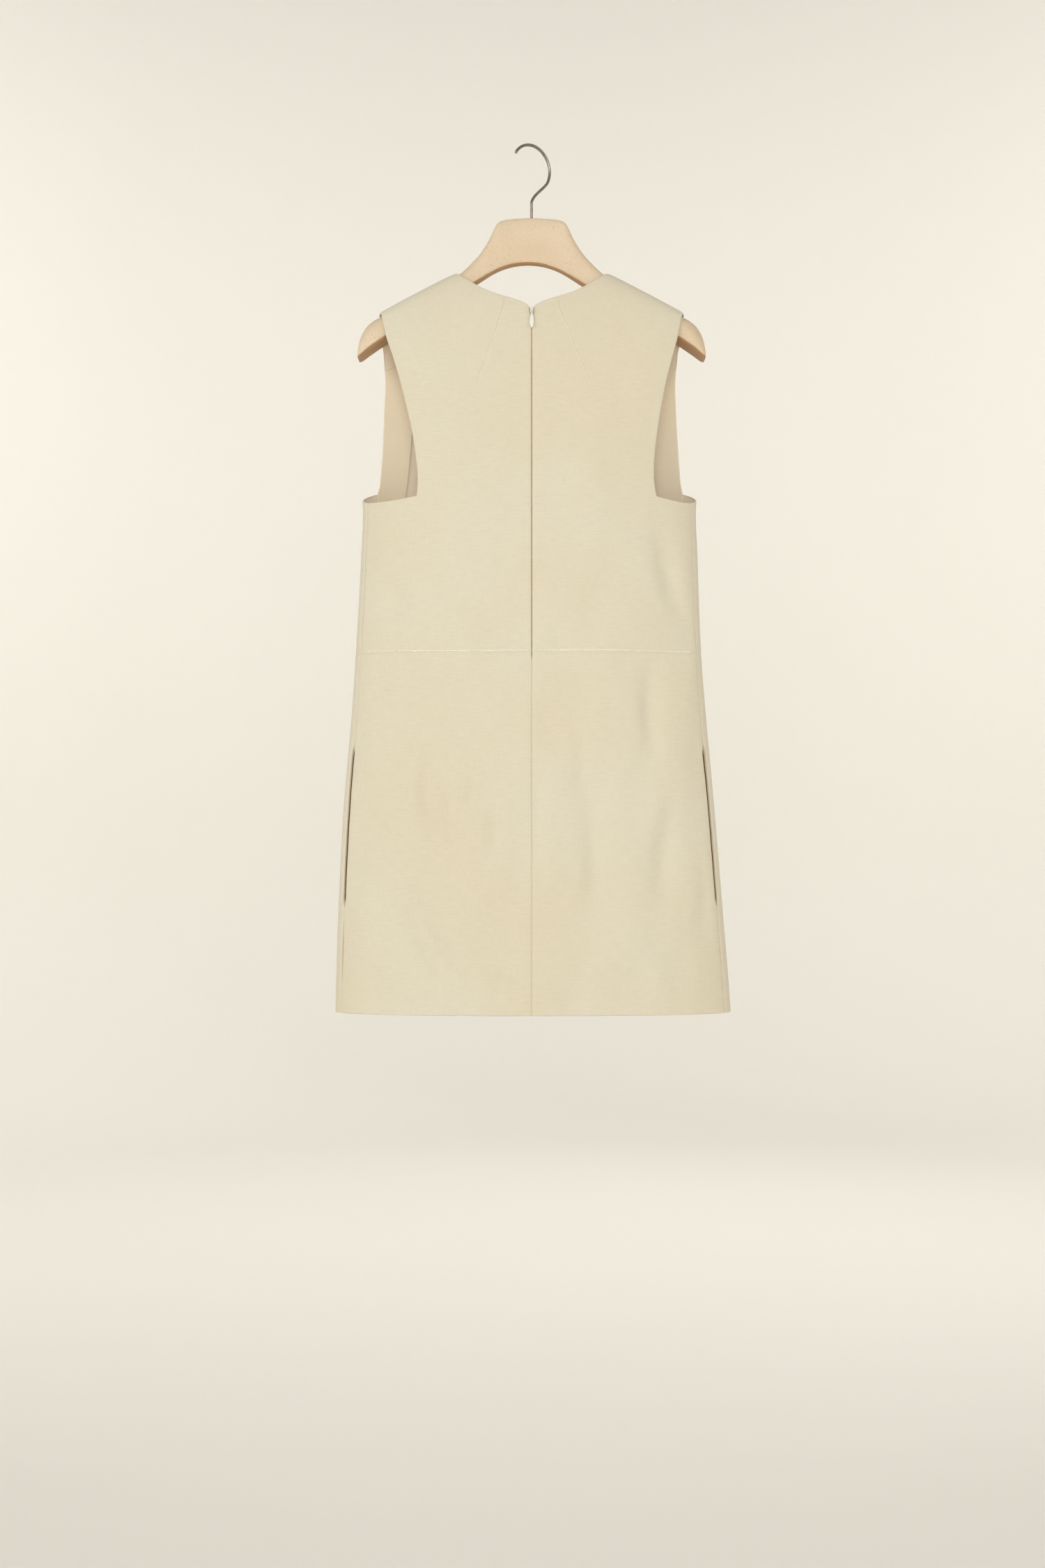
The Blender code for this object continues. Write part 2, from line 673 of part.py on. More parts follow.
def make_back(side, word, material, collection):
    """The back bodice and back skirt on one side of the zip."""
    rows = BODICE_LOW_ROWS + len(CHEST_ROW_SHARES) - 1 + STRIP_ROWS
    lines = neck_line(BACK, side), armhole_line(BACK, side)
    panel("back_bodice_" + word, BACK_SIDE_COLUMN, rows, half_bodice_kept(BACK),
          lambda col, row: bodice_place(BACK, side, col, row, lines), WALL, material, collection)
    panel("back_skirt_" + word, BACK_SIDE_COLUMN, len(SKIRT_LEVELS) - 1, always,
          lambda col, row: skirt_place(BACK, side, col, row), WALL, material, collection)


def make_front(material, collection):
    """The front bodice and front skirt, each cut in one from side seam to side seam."""
    rows = BODICE_LOW_ROWS + len(CHEST_ROW_SHARES) - 1 + STRIP_ROWS
    half_kept = half_bodice_kept(FRONT)
    lines = {side: (neck_line(FRONT, side), armhole_line(FRONT, side)) for side in (LEFT, RIGHT)}

    def half(col):
        across = col - FRONT_SIDE_COLUMN
        return (LEFT if across >= 0 else RIGHT), abs(across)

    def keep(col, row):
        across = col - FRONT_SIDE_COLUMN
        return half_kept(across if across >= 0 else -across - 1, row)

    def bodice(col, row):
        side, across = half(col)
        return bodice_place(FRONT, side, across, row, lines[side])

    def skirt(col, row):
        side, across = half(col)
        return skirt_place(FRONT, side, across, row)

    def rising(col):
        return col >= FRONT_SIDE_COLUMN

    panel("front_bodice", 2 * FRONT_SIDE_COLUMN, rows, keep, bodice, WALL, material, collection, rising)
    panel("front_skirt", 2 * FRONT_SIDE_COLUMN, len(SKIRT_LEVELS) - 1, always, skirt, WALL,
          material, collection, rising)


def moved_in(spot, inset):
    """A point and normal of the cloth, moved in towards the body."""
    point, normal = spot
    return point - normal * inset, normal


def make_facing(side, word, material, collection):
    """The facing inside a front armhole, from below the hanger to below the underarm."""
    lines = neck_line(FRONT, side), armhole_line(FRONT, side)
    rows = BODICE_LOW_ROWS + len(CHEST_ROW_SHARES) - 1 + STRIP_ROWS

    def keep(col, row):
        inner = ARMHOLE_COLUMN - FACING_COLUMNS
        return inner <= col < ARMHOLE_COLUMN and BODICE_LOW_ROWS - 1 <= row < FACING_TOP_ROW

    def place(col, row):
        return moved_in(bodice_place(FRONT, side, col, row, lines), WALL + SEAM_GAP)

    panel("armhole_facing_" + word, ARMHOLE_COLUMN, rows, keep, place, FACING_WALL,
          material, collection)


def bag_outer(side, along, row):
    """Outer side of a folded pocket bag: out along the front, round its nose and back."""
    hollow = BAG_HOLLOW if 0 < row < len(BAG_LEVELS) - 1 else SEAM_GAP
    first = WALL + SEAM_GAP
    thickness = 2.0 * BAG_WALL + hollow
    level = BAG_LEVELS[row]
    reach = BAG_COLUMNS - 1
    if along <= reach:
        turn = section_column(FRONT, side, FRONT_SIDE_COLUMN - along, level)
        return moved_in(section_place(side, turn, level), first)
    if along == BAG_COLUMNS:
        turn = section_column(FRONT, side, FRONT_SIDE_COLUMN - reach, level)
        point, normal = moved_in(section_place(side, turn, level), first + 0.5 * thickness)
        beyond = cloth_on_section(side, turn + 0.01, level) - cloth_on_section(side, turn, level)
        away = beyond.normalized()
        return point + away * 0.5 * thickness, away
    back_step = along - BAG_COLUMNS - 1
    if back_step <= reach:
        turn = section_column(FRONT, side, FRONT_SIDE_COLUMN - reach + back_step, level)
        inset = first + thickness
    else:
        step = back_step - reach
        turn = section_column(BACK, side, BACK_SIDE_COLUMN + 1 - step, level)
        inset = first + BAG_WALL + (BAG_WALL + hollow) * (0.5 if step == 1 else 0.0)
    point, normal = moved_in(section_place(side, turn, level), inset)
    return point, -normal


def make_pocket_bag(side, word, material, collection):
    """A pocket bag: one folded sheet whose two layers open at the slit in the side seam."""
    columns = 2 * BAG_COLUMNS + 2
    panel("pocket_bag_" + word, columns, len(BAG_LEVELS) - 1, always,
          lambda col, row: bag_outer(side, col, row), BAG_WALL, material, collection,
          lambda col: col >= BAG_COLUMNS)


def make_zip_tape(material, collection):
    """The closed zip under the back's two edges, from below its slider to below the waist."""
    lines = {side: (neck_line(BACK, side), armhole_line(BACK, side)) for side in (LEFT, RIGHT)}
    inset = WALL + SEAM_GAP

    def place(col, row):
        side = RIGHT if col < 2 else LEFT
        across = 1 if col in (0, 3) else 0
        if row == 0:
            turn = section_column(BACK, side, across, ZIP_END_Z + 0.1)
            return moved_in(section_place(side, turn, ZIP_END_Z), inset)
        return moved_in(bodice_place(BACK, side, across, row - 1, lines[side]), inset)

    panel("zip_tape", 3, ZIP_TAPE_TOP_ROW + 1, always, place, ZIP_TAPE_THICKNESS, material,
          collection, lambda col: col > 0)


# ---- the slider and its pull

def slider_frame():
    """Where the slider sits on the cloth, and the cloth's tilt there."""
    middle_z = SLIDER_TOP_Z - 0.5 * SLIDER_HEIGHT
    point, normal = ridge_place(BACK, 0.0, drop_to(BACK, 0.0, middle_z))
    tilt = math.atan2(normal.z, normal.y)
    return Vector((0.0, point.y, point.z)), tilt


def make_slider(material, collection, cutters):
    """The slider's body with a round bail on its outer face."""
    seat, tilt = slider_frame()
    bm = bmesh.new()
    bmesh.ops.create_cube(bm, size=1.0)
    for vert in bm.verts:
        vert.co.x *= SLIDER_WIDTH * MM
        vert.co.y = (vert.co.y * SLIDER_DEPTH + SLIDER_PROUD - 0.5 * SLIDER_DEPTH) * MM
        vert.co.z *= SLIDER_HEIGHT * MM
    bmesh.ops.bevel(bm, geom=bm.edges[:], offset=SLIDER_BEVEL * MM, segments=2, affect="EDGES")
    slider = add_object("zip_slider", mesh_from_bmesh("zip_slider", bm), material, collection)
    leg_start = SLIDER_PROUD - BAIL_ROOT
    leg_end = SLIDER_PROUD + BAIL_LEG
    loop = [(0.0, leg_start, -BAIL_DROP - BAIL_RADIUS)]
    for k in range(BAIL_STEPS + 1):
        angle = math.pi * (-0.5 + k / BAIL_STEPS)
        loop.append((0.0, leg_end + BAIL_RADIUS * math.cos(angle),
                     BAIL_RADIUS * math.sin(angle) - BAIL_DROP))
    loop.append((0.0, leg_start, BAIL_RADIUS - BAIL_DROP))
    bail = wire("slider_bail", loop, BAIL_WIRE_RADIUS, material, cutters)
    combine(slider, bail, "UNION")
    for item in (slider, bail):
        item.location = seat * MM
        item.rotation_euler = (tilt, 0.0, 0.0)
    hinge = seat + Matrix.Rotation(tilt, 3, "X") @ Vector((0.0, leg_end, -BAIL_DROP))
    return hinge, tilt


def tab_outline():
    """Half widths down the teardrop pull, from its ring's top to its round end."""
    end = TAB_LENGTH - TAB_HALF_WIDTH
    points = []
    for k in range(TAB_RING_STEPS + 1):
        angle = math.radians(90.0 - TAB_SHOULDER_ANGLE * k / TAB_RING_STEPS)
        points.append((TAB_RING_RADIUS * math.cos(angle), TAB_RING_RADIUS * (math.sin(angle) - 1.0)))
    start_x, start_z = points[-1]
    for k in range(1, TAB_SIDE_STEPS):
        share = k / TAB_SIDE_STEPS
        points.append((start_x + (TAB_HALF_WIDTH - start_x) * ease(share),
                       start_z + (-end - start_z) * share))
    for k in range(TAB_END_STEPS + 1):
        angle = -0.5 * math.pi * k / TAB_END_STEPS
        points.append((TAB_HALF_WIDTH * math.cos(angle), -end + TAB_HALF_WIDTH * math.sin(angle)))
    left = [(-x, z) for x, z in reversed(points[1:-1])]
    return points + left


def make_pull_tab(hinge, tilt, material, collection):
    """The teardrop pull, hung by its hole on the slider's bail."""
    hole_z = -BAIL_RADIUS - TAB_SAG
    top_z = hole_z + TAB_RING_RADIUS
    curve = bpy.data.curves.new("zip_pull_tab", "CURVE")
    curve.dimensions = "2D"
    curve.fill_mode = "BOTH"
    curve.extrude = 0.5 * TAB_THICKNESS * MM
    outline = tab_outline()
    hole = []
    for k in range(TAB_HOLE_SIDES):
        angle = 2.0 * math.pi * k / TAB_HOLE_SIDES
        hole.append((TAB_HOLE_RADIUS * math.cos(angle),
                     TAB_HOLE_RADIUS * math.sin(angle) - TAB_RING_RADIUS))
    for loop in (outline, hole):
        spline = curve.splines.new("POLY")
        spline.points.add(len(loop) - 1)
        spline.use_cyclic_u = True
        for spot, (x, z) in zip(spline.points, loop):
            spot.co = (x * MM, (z + top_z) * MM, 0.0, 1.0)
    tab = mesh_of_curve("zip_pull_tab", curve, material, collection)
    tab.location = hinge * MM
    tab.rotation_euler = (math.radians(90.0) + tilt, 0.0, 0.0)
    return tab


# ---- the hanger

def hanger_section(x, top, bottom, thick):
    """Closed outline of the hanger's body at a station: round above, flatter beneath."""
    widest = bottom + HANGER_WIDEST_SHARE * (top - bottom)
    middle_share = ease(1.0 - abs(x) / HANGER_MIDDLE_REACH)
    above = HANGER_POWER_END + (HANGER_POWER_MIDDLE - HANGER_POWER_END) * middle_share
    ring = []
    for k in range(HANGER_SECTION_POINTS):
        angle = 2.0 * math.pi * k / HANGER_SECTION_POINTS
        cosine, sine = math.cos(angle), math.sin(angle)
        power = above if sine >= 0.0 else HANGER_POWER_BELOW
        rise = (top - widest) if sine >= 0.0 else (widest - bottom)
        y = math.copysign(abs(cosine) ** (2.0 / power), cosine) * thick
        z = widest + math.copysign(abs(sine) ** (2.0 / power), sine) * rise
        ring.append((x, y, z))
    return ring


def hanger_stations():
    """Stations along half the hanger, even along its top edge."""
    places = []
    for k in range(HANGER_STATIONS + 1):
        x, top = resample(HANGER_TOP, k / HANGER_STATIONS)
        bottom = curve_through(HANGER_EDGE["x"], HANGER_EDGE["bottom_z"], x)
        thick = curve_through(HANGER_EDGE["x"], HANGER_EDGE["half_thickness"], x)
        places.append((x, top, bottom, thick))
    return places


def make_hanger(material, steel, collection, cutters):
    """The hanger's moulded body and its steel hook."""
    half = hanger_stations()
    rings = [hanger_section(-x, top, bottom, thick) for x, top, bottom, thick in reversed(half[1:])]
    rings += [hanger_section(x, top, bottom, thick) for x, top, bottom, thick in half]
    body = loft("hanger_body", rings, material, collection)

    turn = math.radians(HOOK_TURN)

    def in_plane(across, z):
        return across * math.cos(turn), across * math.sin(turn), z

    centre_z = WIRE_RADIUS - HOOK_RADIUS

    def on_arc(share):
        angle = math.radians(HOOK_TIP_ANGLE + (HOOK_ARC_END - HOOK_TIP_ANGLE) * share)
        return HOOK_RADIUS * math.cos(angle), centre_z + HOOK_RADIUS * math.sin(angle)

    path = [in_plane(*on_arc(k / HOOK_ARC_STEPS)) for k in range(HOOK_ARC_STEPS + 1)]
    last_across, last_z = on_arc(1.0)
    for share in HOOK_SLANT_SHARES:
        path.append(in_plane(last_across * (1.0 - share), last_z + (HOOK_STEM_TOP_Z - last_z) * share))
    path.append(in_plane(0.0, HOOK_STEM_TOP_Z - HOOK_BEND))
    path.append(in_plane(0.0, HOOK_STEM_BOTTOM_Z))
    wire("hanger_hook", path, WIRE_RADIUS, steel, collection)

    bm = bmesh.new()
    bmesh.ops.create_cone(bm, cap_ends=True, segments=HOOK_HOLE_SIDES, radius1=HOOK_HOLE_RADIUS * MM,
                          radius2=HOOK_HOLE_RADIUS * MM, depth=HOOK_HOLE_CUTTER_LENGTH * MM)
    hole = add_object("hook_hole", mesh_from_bmesh("hook_hole", bm), None, cutters)
    hole.location.z = (HOOK_STEM_BOTTOM_Z - SEAM_GAP + 0.5 * HOOK_HOLE_CUTTER_LENGTH) * MM
    combine(body, hole, "DIFFERENCE")


def main():
    """Build the dress on its hanger."""
    clear_scene()
    parts = new_collection("dress_on_hanger")
    cutters = new_collection("cutters")
    cloth = new_material("dress_cloth", 0.9)
    inside = new_material("facing_cloth", 0.9)
    white = new_material("zip_white", 0.45)
    pull = new_material("zip_pull", 0.4)
    moulded = new_material("hanger_body", 0.7)
    steel = new_material("hook_steel", 0.3, 1.0)

    make_hanger(moulded, steel, parts, cutters)
    make_front(cloth, parts)
    for side, word in ((LEFT, "left"), (RIGHT, "right")):
        make_back(side, word, cloth, parts)
        make_facing(side, word, inside, parts)
        make_pocket_bag(side, word, inside, parts)
    make_zip_tape(white, parts)
    hinge, tilt = make_slider(white, parts, cutters)
    make_pull_tab(hinge, tilt, pull, parts)


main()
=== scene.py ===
import json
import math

import bmesh
import bpy
import numpy as np
from mathutils import Matrix, Vector
from mathutils.bvhtree import BVHTree


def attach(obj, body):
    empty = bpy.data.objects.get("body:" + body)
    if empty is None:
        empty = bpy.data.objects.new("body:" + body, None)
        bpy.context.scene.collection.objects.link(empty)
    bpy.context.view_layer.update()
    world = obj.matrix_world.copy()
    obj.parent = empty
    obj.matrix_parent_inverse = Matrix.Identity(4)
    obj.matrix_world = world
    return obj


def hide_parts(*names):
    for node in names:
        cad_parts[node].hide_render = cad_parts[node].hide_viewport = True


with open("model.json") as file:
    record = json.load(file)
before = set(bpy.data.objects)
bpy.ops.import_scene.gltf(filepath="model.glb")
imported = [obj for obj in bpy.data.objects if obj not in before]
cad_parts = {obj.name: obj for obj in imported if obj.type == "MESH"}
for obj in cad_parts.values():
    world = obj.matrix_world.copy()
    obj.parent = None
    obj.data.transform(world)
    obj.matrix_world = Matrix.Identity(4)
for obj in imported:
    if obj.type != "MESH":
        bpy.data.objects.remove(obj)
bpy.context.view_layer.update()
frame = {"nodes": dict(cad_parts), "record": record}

MM = 0.001
BACK, FRONT = 1, -1
LEFT, RIGHT = 1, -1

# ---- the form, from the sizes of the part's solids; only the pockets' slits are wider here
NECK_POINT_Z = -147.0
UNDERARM_Z = -411.0
WAIST_Z = -586.0
HEM_Z = -998.0
SHOULDER_TIP_X = 176.2
SHOULDER_SLOPE = 0.547
SEAM_FORWARD = 9.0
SEAM_TOUCH = 0.04

# Horizontal sections.  Columns: z, half width left, half width right, depth of back, of front
SECTIONS = np.array((
    (-998.0, 226.5, 230.0, 47.0, 47.0),
    (-957.0, 225.5, 227.0, 47.5, 47.0),
    (-879.0, 223.0, 220.5, 48.0, 47.5),
    (-763.0, 217.0, 211.0, 48.0, 49.0),
    (-659.0, 208.0, 201.5, 46.0, 48.0),
    (-586.0, 203.0, 195.8, 44.0, 46.0),
    (-474.0, 196.8, 191.6, 46.0, 49.0),
    (-411.0, 195.2, 190.3, 46.5, 50.0),
    (-280.0, 209.0, 206.0, 44.5, 48.0),
    (-147.0, 236.0, 236.0, 44.0, 46.0),
))
SECTION_POWER = 2.3
SIDE_SEAM_INSET = 6.0
SIDE_SEAM_INSET_HEM = 8.0
NECK_POINT_X = 88.0
RIDGE_RISE = 1.2
RIDGE_SOFTNESS = 6.0
RIDGE_POWER_NECK = 2.6
RIDGE_POWER_TIP = 3.8

# Armhole edges from the underarm corner to the shoulder.  Columns: z, half width x
ARMHOLES = {
    (BACK, LEFT): ((-408.2, 130.8), (-397.0, 129.7), (-384.0, 129.7), (-365.0, 131.4),
                   (-340.0, 135.1), (-310.0, 141.5), (-280.0, 149.0), (-252.0, 157.0),
                   (-225.0, 166.0)),
    (BACK, RIGHT): ((-408.2, 142.1), (-397.0, 139.9), (-384.0, 139.0), (-365.0, 139.7),
                    (-340.0, 142.4), (-310.0, 146.9), (-280.0, 152.6), (-252.0, 159.6),
                    (-225.0, 166.8)),
    (FRONT, LEFT): ((-398.3, 180.3), (-390.0, 178.0), (-381.0, 176.8), (-360.0, 175.2),
                    (-337.0, 173.8), (-301.0, 172.4), (-265.0, 171.0), (-225.0, 170.6)),
    (FRONT, RIGHT): ((-398.3, 177.1), (-390.0, 175.2), (-381.0, 174.2), (-360.0, 172.6),
                     (-337.0, 171.2), (-301.0, 169.2), (-265.0, 168.4), (-225.0, 169.0)),
}
UNDERARM_POWER = 4
# Underarm edges from the armhole's corner to the side seam.  Columns: share of the way, z
UNDERARMS = {
    BACK: ((0.0, -408.2), (0.2, -411.0), (0.5, -413.4), (0.8, -413.9), (1.0, -413.4)),
    FRONT: ((0.0, -398.3), (0.25, -402.5), (0.6, -408.0), (0.85, -411.8), (1.0, -413.4)),
}
# Necklines from the centre to the split over the shoulder.  Columns: x, z
NECKLINES = {
    BACK: ((0.0, -190.0), (10.0, -186.0), (21.0, -181.8), (32.0, -178.3), (45.0, -173.8),
           (58.0, -167.5), (70.0, -160.0), (79.0, -153.6)),
    FRONT: ((0.0, -234.0), (16.0, -232.6), (32.0, -228.0), (47.0, -219.5), (60.0, -207.0)),
}
# From the split to the shoulder seam.  Columns: x, distance down the cloth from its top line
NECK_SIDES = {
    BACK: ((84.5, 10.0), (87.6, 2.0), (88.6, -4.0), (89.2, -SEAM_FORWARD)),
    FRONT: ((71.0, 46.0), (79.5, 29.0), (86.0, 15.0), (89.2, SEAM_FORWARD)),
}
STRIP_DROP = {BACK: 15.0, FRONT: 62.0}
STRIP_CLEARANCE = 8.0
STRIP_EDGE_HASTE = 1.6

ZIP_END_Z = -592.0
ZIP_EDGE = ((0.0, 3.6), (9.5, 2.3), (13.3, 0.45))
POCKET_TOP_Z = -690.0
POCKET_BOTTOM_Z = -878.0
POCKET_SLIT = 4.2
POCKET_TAPER_SHARE = 0.06

# Broad folds of the solids.  Columns: x and z of the top, of the bottom, half width, depth
BROAD_FOLDS = {
    BACK: ((-138.0, -415.0, -176.0, -580.0, 15.0, -2.6),
           (-133.0, -590.0, -140.0, -735.0, 17.0, -2.2),
           (-50.0, -620.0, -78.0, -930.0, 21.0, -2.8), (-14.0, -700.0, -20.0, -960.0, 13.0, 1.8),
           (122.0, -640.0, 112.0, -830.0, 20.0, -2.4), (48.0, -690.0, 42.0, -880.0, 18.0, 1.8),
           (140.0, -850.0, 88.0, -985.0, 20.0, -3.0), (62.0, -300.0, 84.0, -520.0, 26.0, 2.0),
           (-66.0, -300.0, -82.0, -540.0, 24.0, 2.0)),
    FRONT: ((70.0, -330.0, 96.0, -590.0, 24.0, 2.4), (-78.0, -330.0, -92.0, -570.0, 26.0, 2.2),
            (60.0, -640.0, 82.0, -970.0, 22.0, -2.8), (-118.0, -620.0, -128.0, -900.0, 20.0, -2.4),
            (-30.0, -720.0, -24.0, -1010.0, 18.0, 2.0)),
}
FOLD_FADE_SIDE = 0.90
FOLD_FADE_TOP = 60.0

# Creases listed one by one.  Columns: x and z of one end, of the other end, half width, depth
CREASES = {
    BACK: (
        (-8.0, -690.0, -13.0, -905.0, 7.0, -0.9), (-54.0, -632.0, -60.0, -770.0, 9.0, -0.8),
        (-60.0, -735.0, -79.0, -910.0, 11.0, -1.2), (-135.0, -592.0, -138.0, -725.0, 9.0, -1.2),
        (-155.0, -738.0, -152.0, -885.0, 11.0, -1.3), (-96.0, -690.0, -104.0, -850.0, 14.0, 0.6),
        (-140.0, -428.0, -173.0, -560.0, 10.0, -1.1), (-17.0, -348.0, -55.0, -404.0, 9.0, -0.8),
        (-14.0, -466.0, -28.0, -494.0, 8.0, -0.6), (-20.0, -566.0, -44.0, -584.0, 8.0, -1.0),
        (-98.0, -248.0, -101.0, -335.0, 8.0, -0.7), (-120.0, -880.0, -150.0, -985.0, 14.0, 0.8),
        (-26.0, -972.0, -64.0, -993.0, 9.0, -0.9), (-190.0, -800.0, -200.0, -930.0, 10.0, -0.9),
        (119.0, -696.0, 112.0, -805.0, 10.0, -1.7), (105.0, -716.0, 99.0, -840.0, 9.0, -1.2),
        (67.0, -704.0, 66.0, -776.0, 9.0, -1.4), (47.0, -722.0, 44.0, -846.0, 10.0, -1.4),
        (135.0, -866.0, 97.0, -968.0, 13.0, -2.1), (156.0, -846.0, 122.0, -902.0, 10.0, -1.0),
        (43.0, -944.0, 39.0, -990.0, 10.0, -1.6), (183.0, -934.0, 180.0, -994.0, 9.0, -1.3),
        (78.0, -256.0, 74.0, -296.0, 9.0, -0.7), (162.0, -494.0, 157.0, -550.0, 12.0, -1.0),
        (70.0, -466.0, 61.0, -566.0, 14.0, -0.8), (97.0, -556.0, 91.0, -650.0, 14.0, -0.9),
        (24.0, -600.0, 20.0, -700.0, 12.0, -0.5), (26.0, -420.0, 40.0, -520.0, 12.0, -0.4),
    ),
    FRONT: (
        (12.0, -650.0, 6.0, -900.0, 10.0, -0.9), (48.0, -610.0, 66.0, -820.0, 10.0, -1.0),
        (104.0, -640.0, 118.0, -860.0, 12.0, -1.1), (150.0, -600.0, 166.0, -760.0, 10.0, -1.0),
        (130.0, -860.0, 104.0, -980.0, 12.0, -1.2), (28.0, -900.0, 36.0, -990.0, 10.0, 0.8),
        (-46.0, -620.0, -60.0, -840.0, 11.0, -1.0), (-84.0, -720.0, -96.0, -930.0, 12.0, 0.8),
        (-140.0, -620.0, -152.0, -800.0, 10.0, -1.2), (-164.0, -820.0, -150.0, -975.0, 11.0, -1.0),
        (-20.0, -880.0, -36.0, -992.0, 10.0, -0.9), (60.0, -700.0, 80.0, -900.0, 13.0, 0.7),
        (140.0, -430.0, 104.0, -520.0, 11.0, -1.1), (-136.0, -428.0, -96.0, -524.0, 11.0, -1.1),
        (128.0, -300.0, 116.0, -390.0, 9.0, -0.8), (-126.0, -296.0, -112.0, -392.0, 9.0, -0.8),
        (30.0, -300.0, 44.0, -420.0, 12.0, -0.6), (-34.0, -310.0, -46.0, -430.0, 12.0, -0.6),
        (20.0, -480.0, 40.0, -580.0, 10.0, -0.7), (-60.0, -500.0, -48.0, -582.0, 10.0, -0.8),
        (176.0, -470.0, 160.0, -570.0, 10.0, -0.9), (-170.0, -476.0, -158.0, -560.0, 10.0, -0.9),
    ),
}
# The creases wander a little from their straight lines, and are deeper below the chest
CREASE_WANDER = 0.35
CREASE_WAVES = 5.0
CREASE_PHASE = 0.05
CREASE_SWELL = 1.3
CREASE_GAIN_LOW = 3.1
CREASE_GAIN_TOP_Z = -450.0
CREASE_GAIN_FADE = 60.0
# Slow unevenness of the whole cloth.  Columns: length across, length down, phase, height
RIPPLES = ((92.0, 310.0, 0.4, 0.22), (147.0, -260.0, 2.1, 0.24), (58.0, 190.0, 4.0, 0.10),
           (211.0, 120.0, 1.2, 0.20), (73.0, -95.0, 5.3, 0.08), (39.0, 260.0, 3.1, 0.06))

# ---- the cloth's own sizes
CLOTH = 0.8
TURNED_EDGE = 1.4
TURNED_WIDTH = 9.0
TURNED_FADE = 2.0
HEM_WIDTH = 32.0
HEM_FADE = 3.0
HEM_RIDGE = 0.12
HEM_RIDGE_REACH = 2.0
HEM_CUT_START = 0.5
DITCH_DEPTH = 0.5
DITCH_REACH = 1.1
SEAM_RIDGE = 0.12
SEAM_RIDGE_OFF = 5.0
SEAM_RIDGE_REACH = 3.5
ROLL_DEPTH = 0.45
ROLL_REACH = 1.3
ZIP_ROLL = 0.6
ZIP_ROLL_REACH = 0.8
DART_PUCKER = 0.22
DART_PUCKER_OFF = 4.5
DART_PUCKER_REACH = 3.5
# Share of a crease's height that is left at a free edge, and how far in it is whole again
EDGE_SHARE = 0.4
EDGE_REACH = 18.0
# Closer than this, a place is on the edge itself
ON_EDGE = 0.01
# How far the rim between a cloth's two sides stands out, at panels, layers and pocket bags
PANEL_RIM = 0.28
LAYER_RIM = 0.2
BAG_RIM = 0.15
PANEL_SHARP = 55.0

# ---- layers inside the cloth
LAYER_INSET = 1.7
FACING_CLOTH = 0.7
FACING_COLUMNS = 2.0
FACING_TOP_SHARE = 0.90
FACING_FOLLOW = 0.6
FACING_STEPS = (0.25, 0.15, 0.02)    # of columns, of rows below the chest, of rows on it
BAG_CLOTH = 0.6
BAG_HOLLOW = 1.2
BAG_TAPER_SHARE = 0.08
BAG_TOP_Z = -660.0
BAG_BOTTOM_Z = -920.0
BAG_COLUMNS = 9
BAG_STEP = 9.0
BAG_NOSE_STEPS = 7
BAG_LIP_TURN = 0.55 * math.pi
TAPE_INSET = 2.9
TAPE_CLOTH = 0.5
TAPE_TOP_SHARE = 0.99
TAPE_MIDDLE = 0.3
TAPE_COLUMNS = (0.0, 0.08, 0.3, 0.55, 0.8, 0.95, 1.0)
TAPE_STEPS = (1.8, 0.12, 0.016)      # of rows below the waist, up to the underarm, above it
TAPE_END_Z = ZIP_END_Z + 0.1
TAPE_WAIST_Z = WAIST_Z - 0.5
CHAIN_TOP_SHARE = 0.955
CHAIN_RISE = 0.4

# ---- grid of a half panel, as the part numbers it
NECK_COLUMN = 6.0
ARMHOLE_COLUMN = 12.0
SIDE_COLUMN = {BACK: 17.0, FRONT: 18.0}
LOW_ROWS = 6.0
COLUMN_STEP = 0.4
BODICE_ROWS = 44
SKIRT_ROWS = 100
CHEST_STEP = 0.6 / BODICE_ROWS
STRIP_STEP = 0.07
# Finer places beside seams and edges, as distances from them on each grid's own scale
FINE_COLUMNS = (0.05, 0.11, 0.2)
FINE_LOW_ROWS = (0.02, 0.045, 0.09)
FINE_CHEST_ROWS = (0.0022, 0.005, 0.011)
FINE_STRIP_ROWS = (0.025, 0.06)
FINE_HEM_ROWS = (0.5, 1.2, 2.2)
FINE_WAIST_ROWS = (0.6, 1.3, 2.6)
FINE_CLEARANCE = 0.3

# ---- tables and steps of the sums, in millimetres and radians
REACHES = np.arange(0.0, 182.0)
DROPS = np.arange(0.0, 330.0)
BEND_STEPS = 200
TURN_STEP = 0.002
RISE_STEP = 0.5
FAR = 1e6
TINY = 1e-9
CHUNK = 2000
RAY_START = 300.0

# ---- the hanger's body and hook.  Columns: x, z of the top edge
HANGER_TOP = ((0.0, -82.7), (20.0, -83.7), (34.0, -85.6), (39.0, -88.4), (43.0, -95.0),
              (49.0, -107.6), (58.5, -122.8), (69.7, -135.2), (79.0, -144.2), (88.0, -150.6),
              (130.0, -172.9), (172.0, -196.0), (182.0, -201.6), (190.5, -209.0), (197.0, -221.0),
              (199.8, -235.0))
# Columns: x, z of the bottom edge, half thickness
HANGER_LOW = ((0.0, -136.2, 8.0), (10.0, -136.8, 8.0), (20.0, -138.6, 8.1), (30.0, -141.7, 8.4),
              (40.0, -146.3, 8.8), (50.0, -152.2, 9.4), (64.0, -161.0, 10.3), (88.0, -176.0, 12.0),
              (130.0, -201.5, 17.4), (168.0, -225.2, 20.6), (186.0, -237.4, 21.0),
              (197.0, -245.6, 18.5), (199.8, -246.2, 15.5))
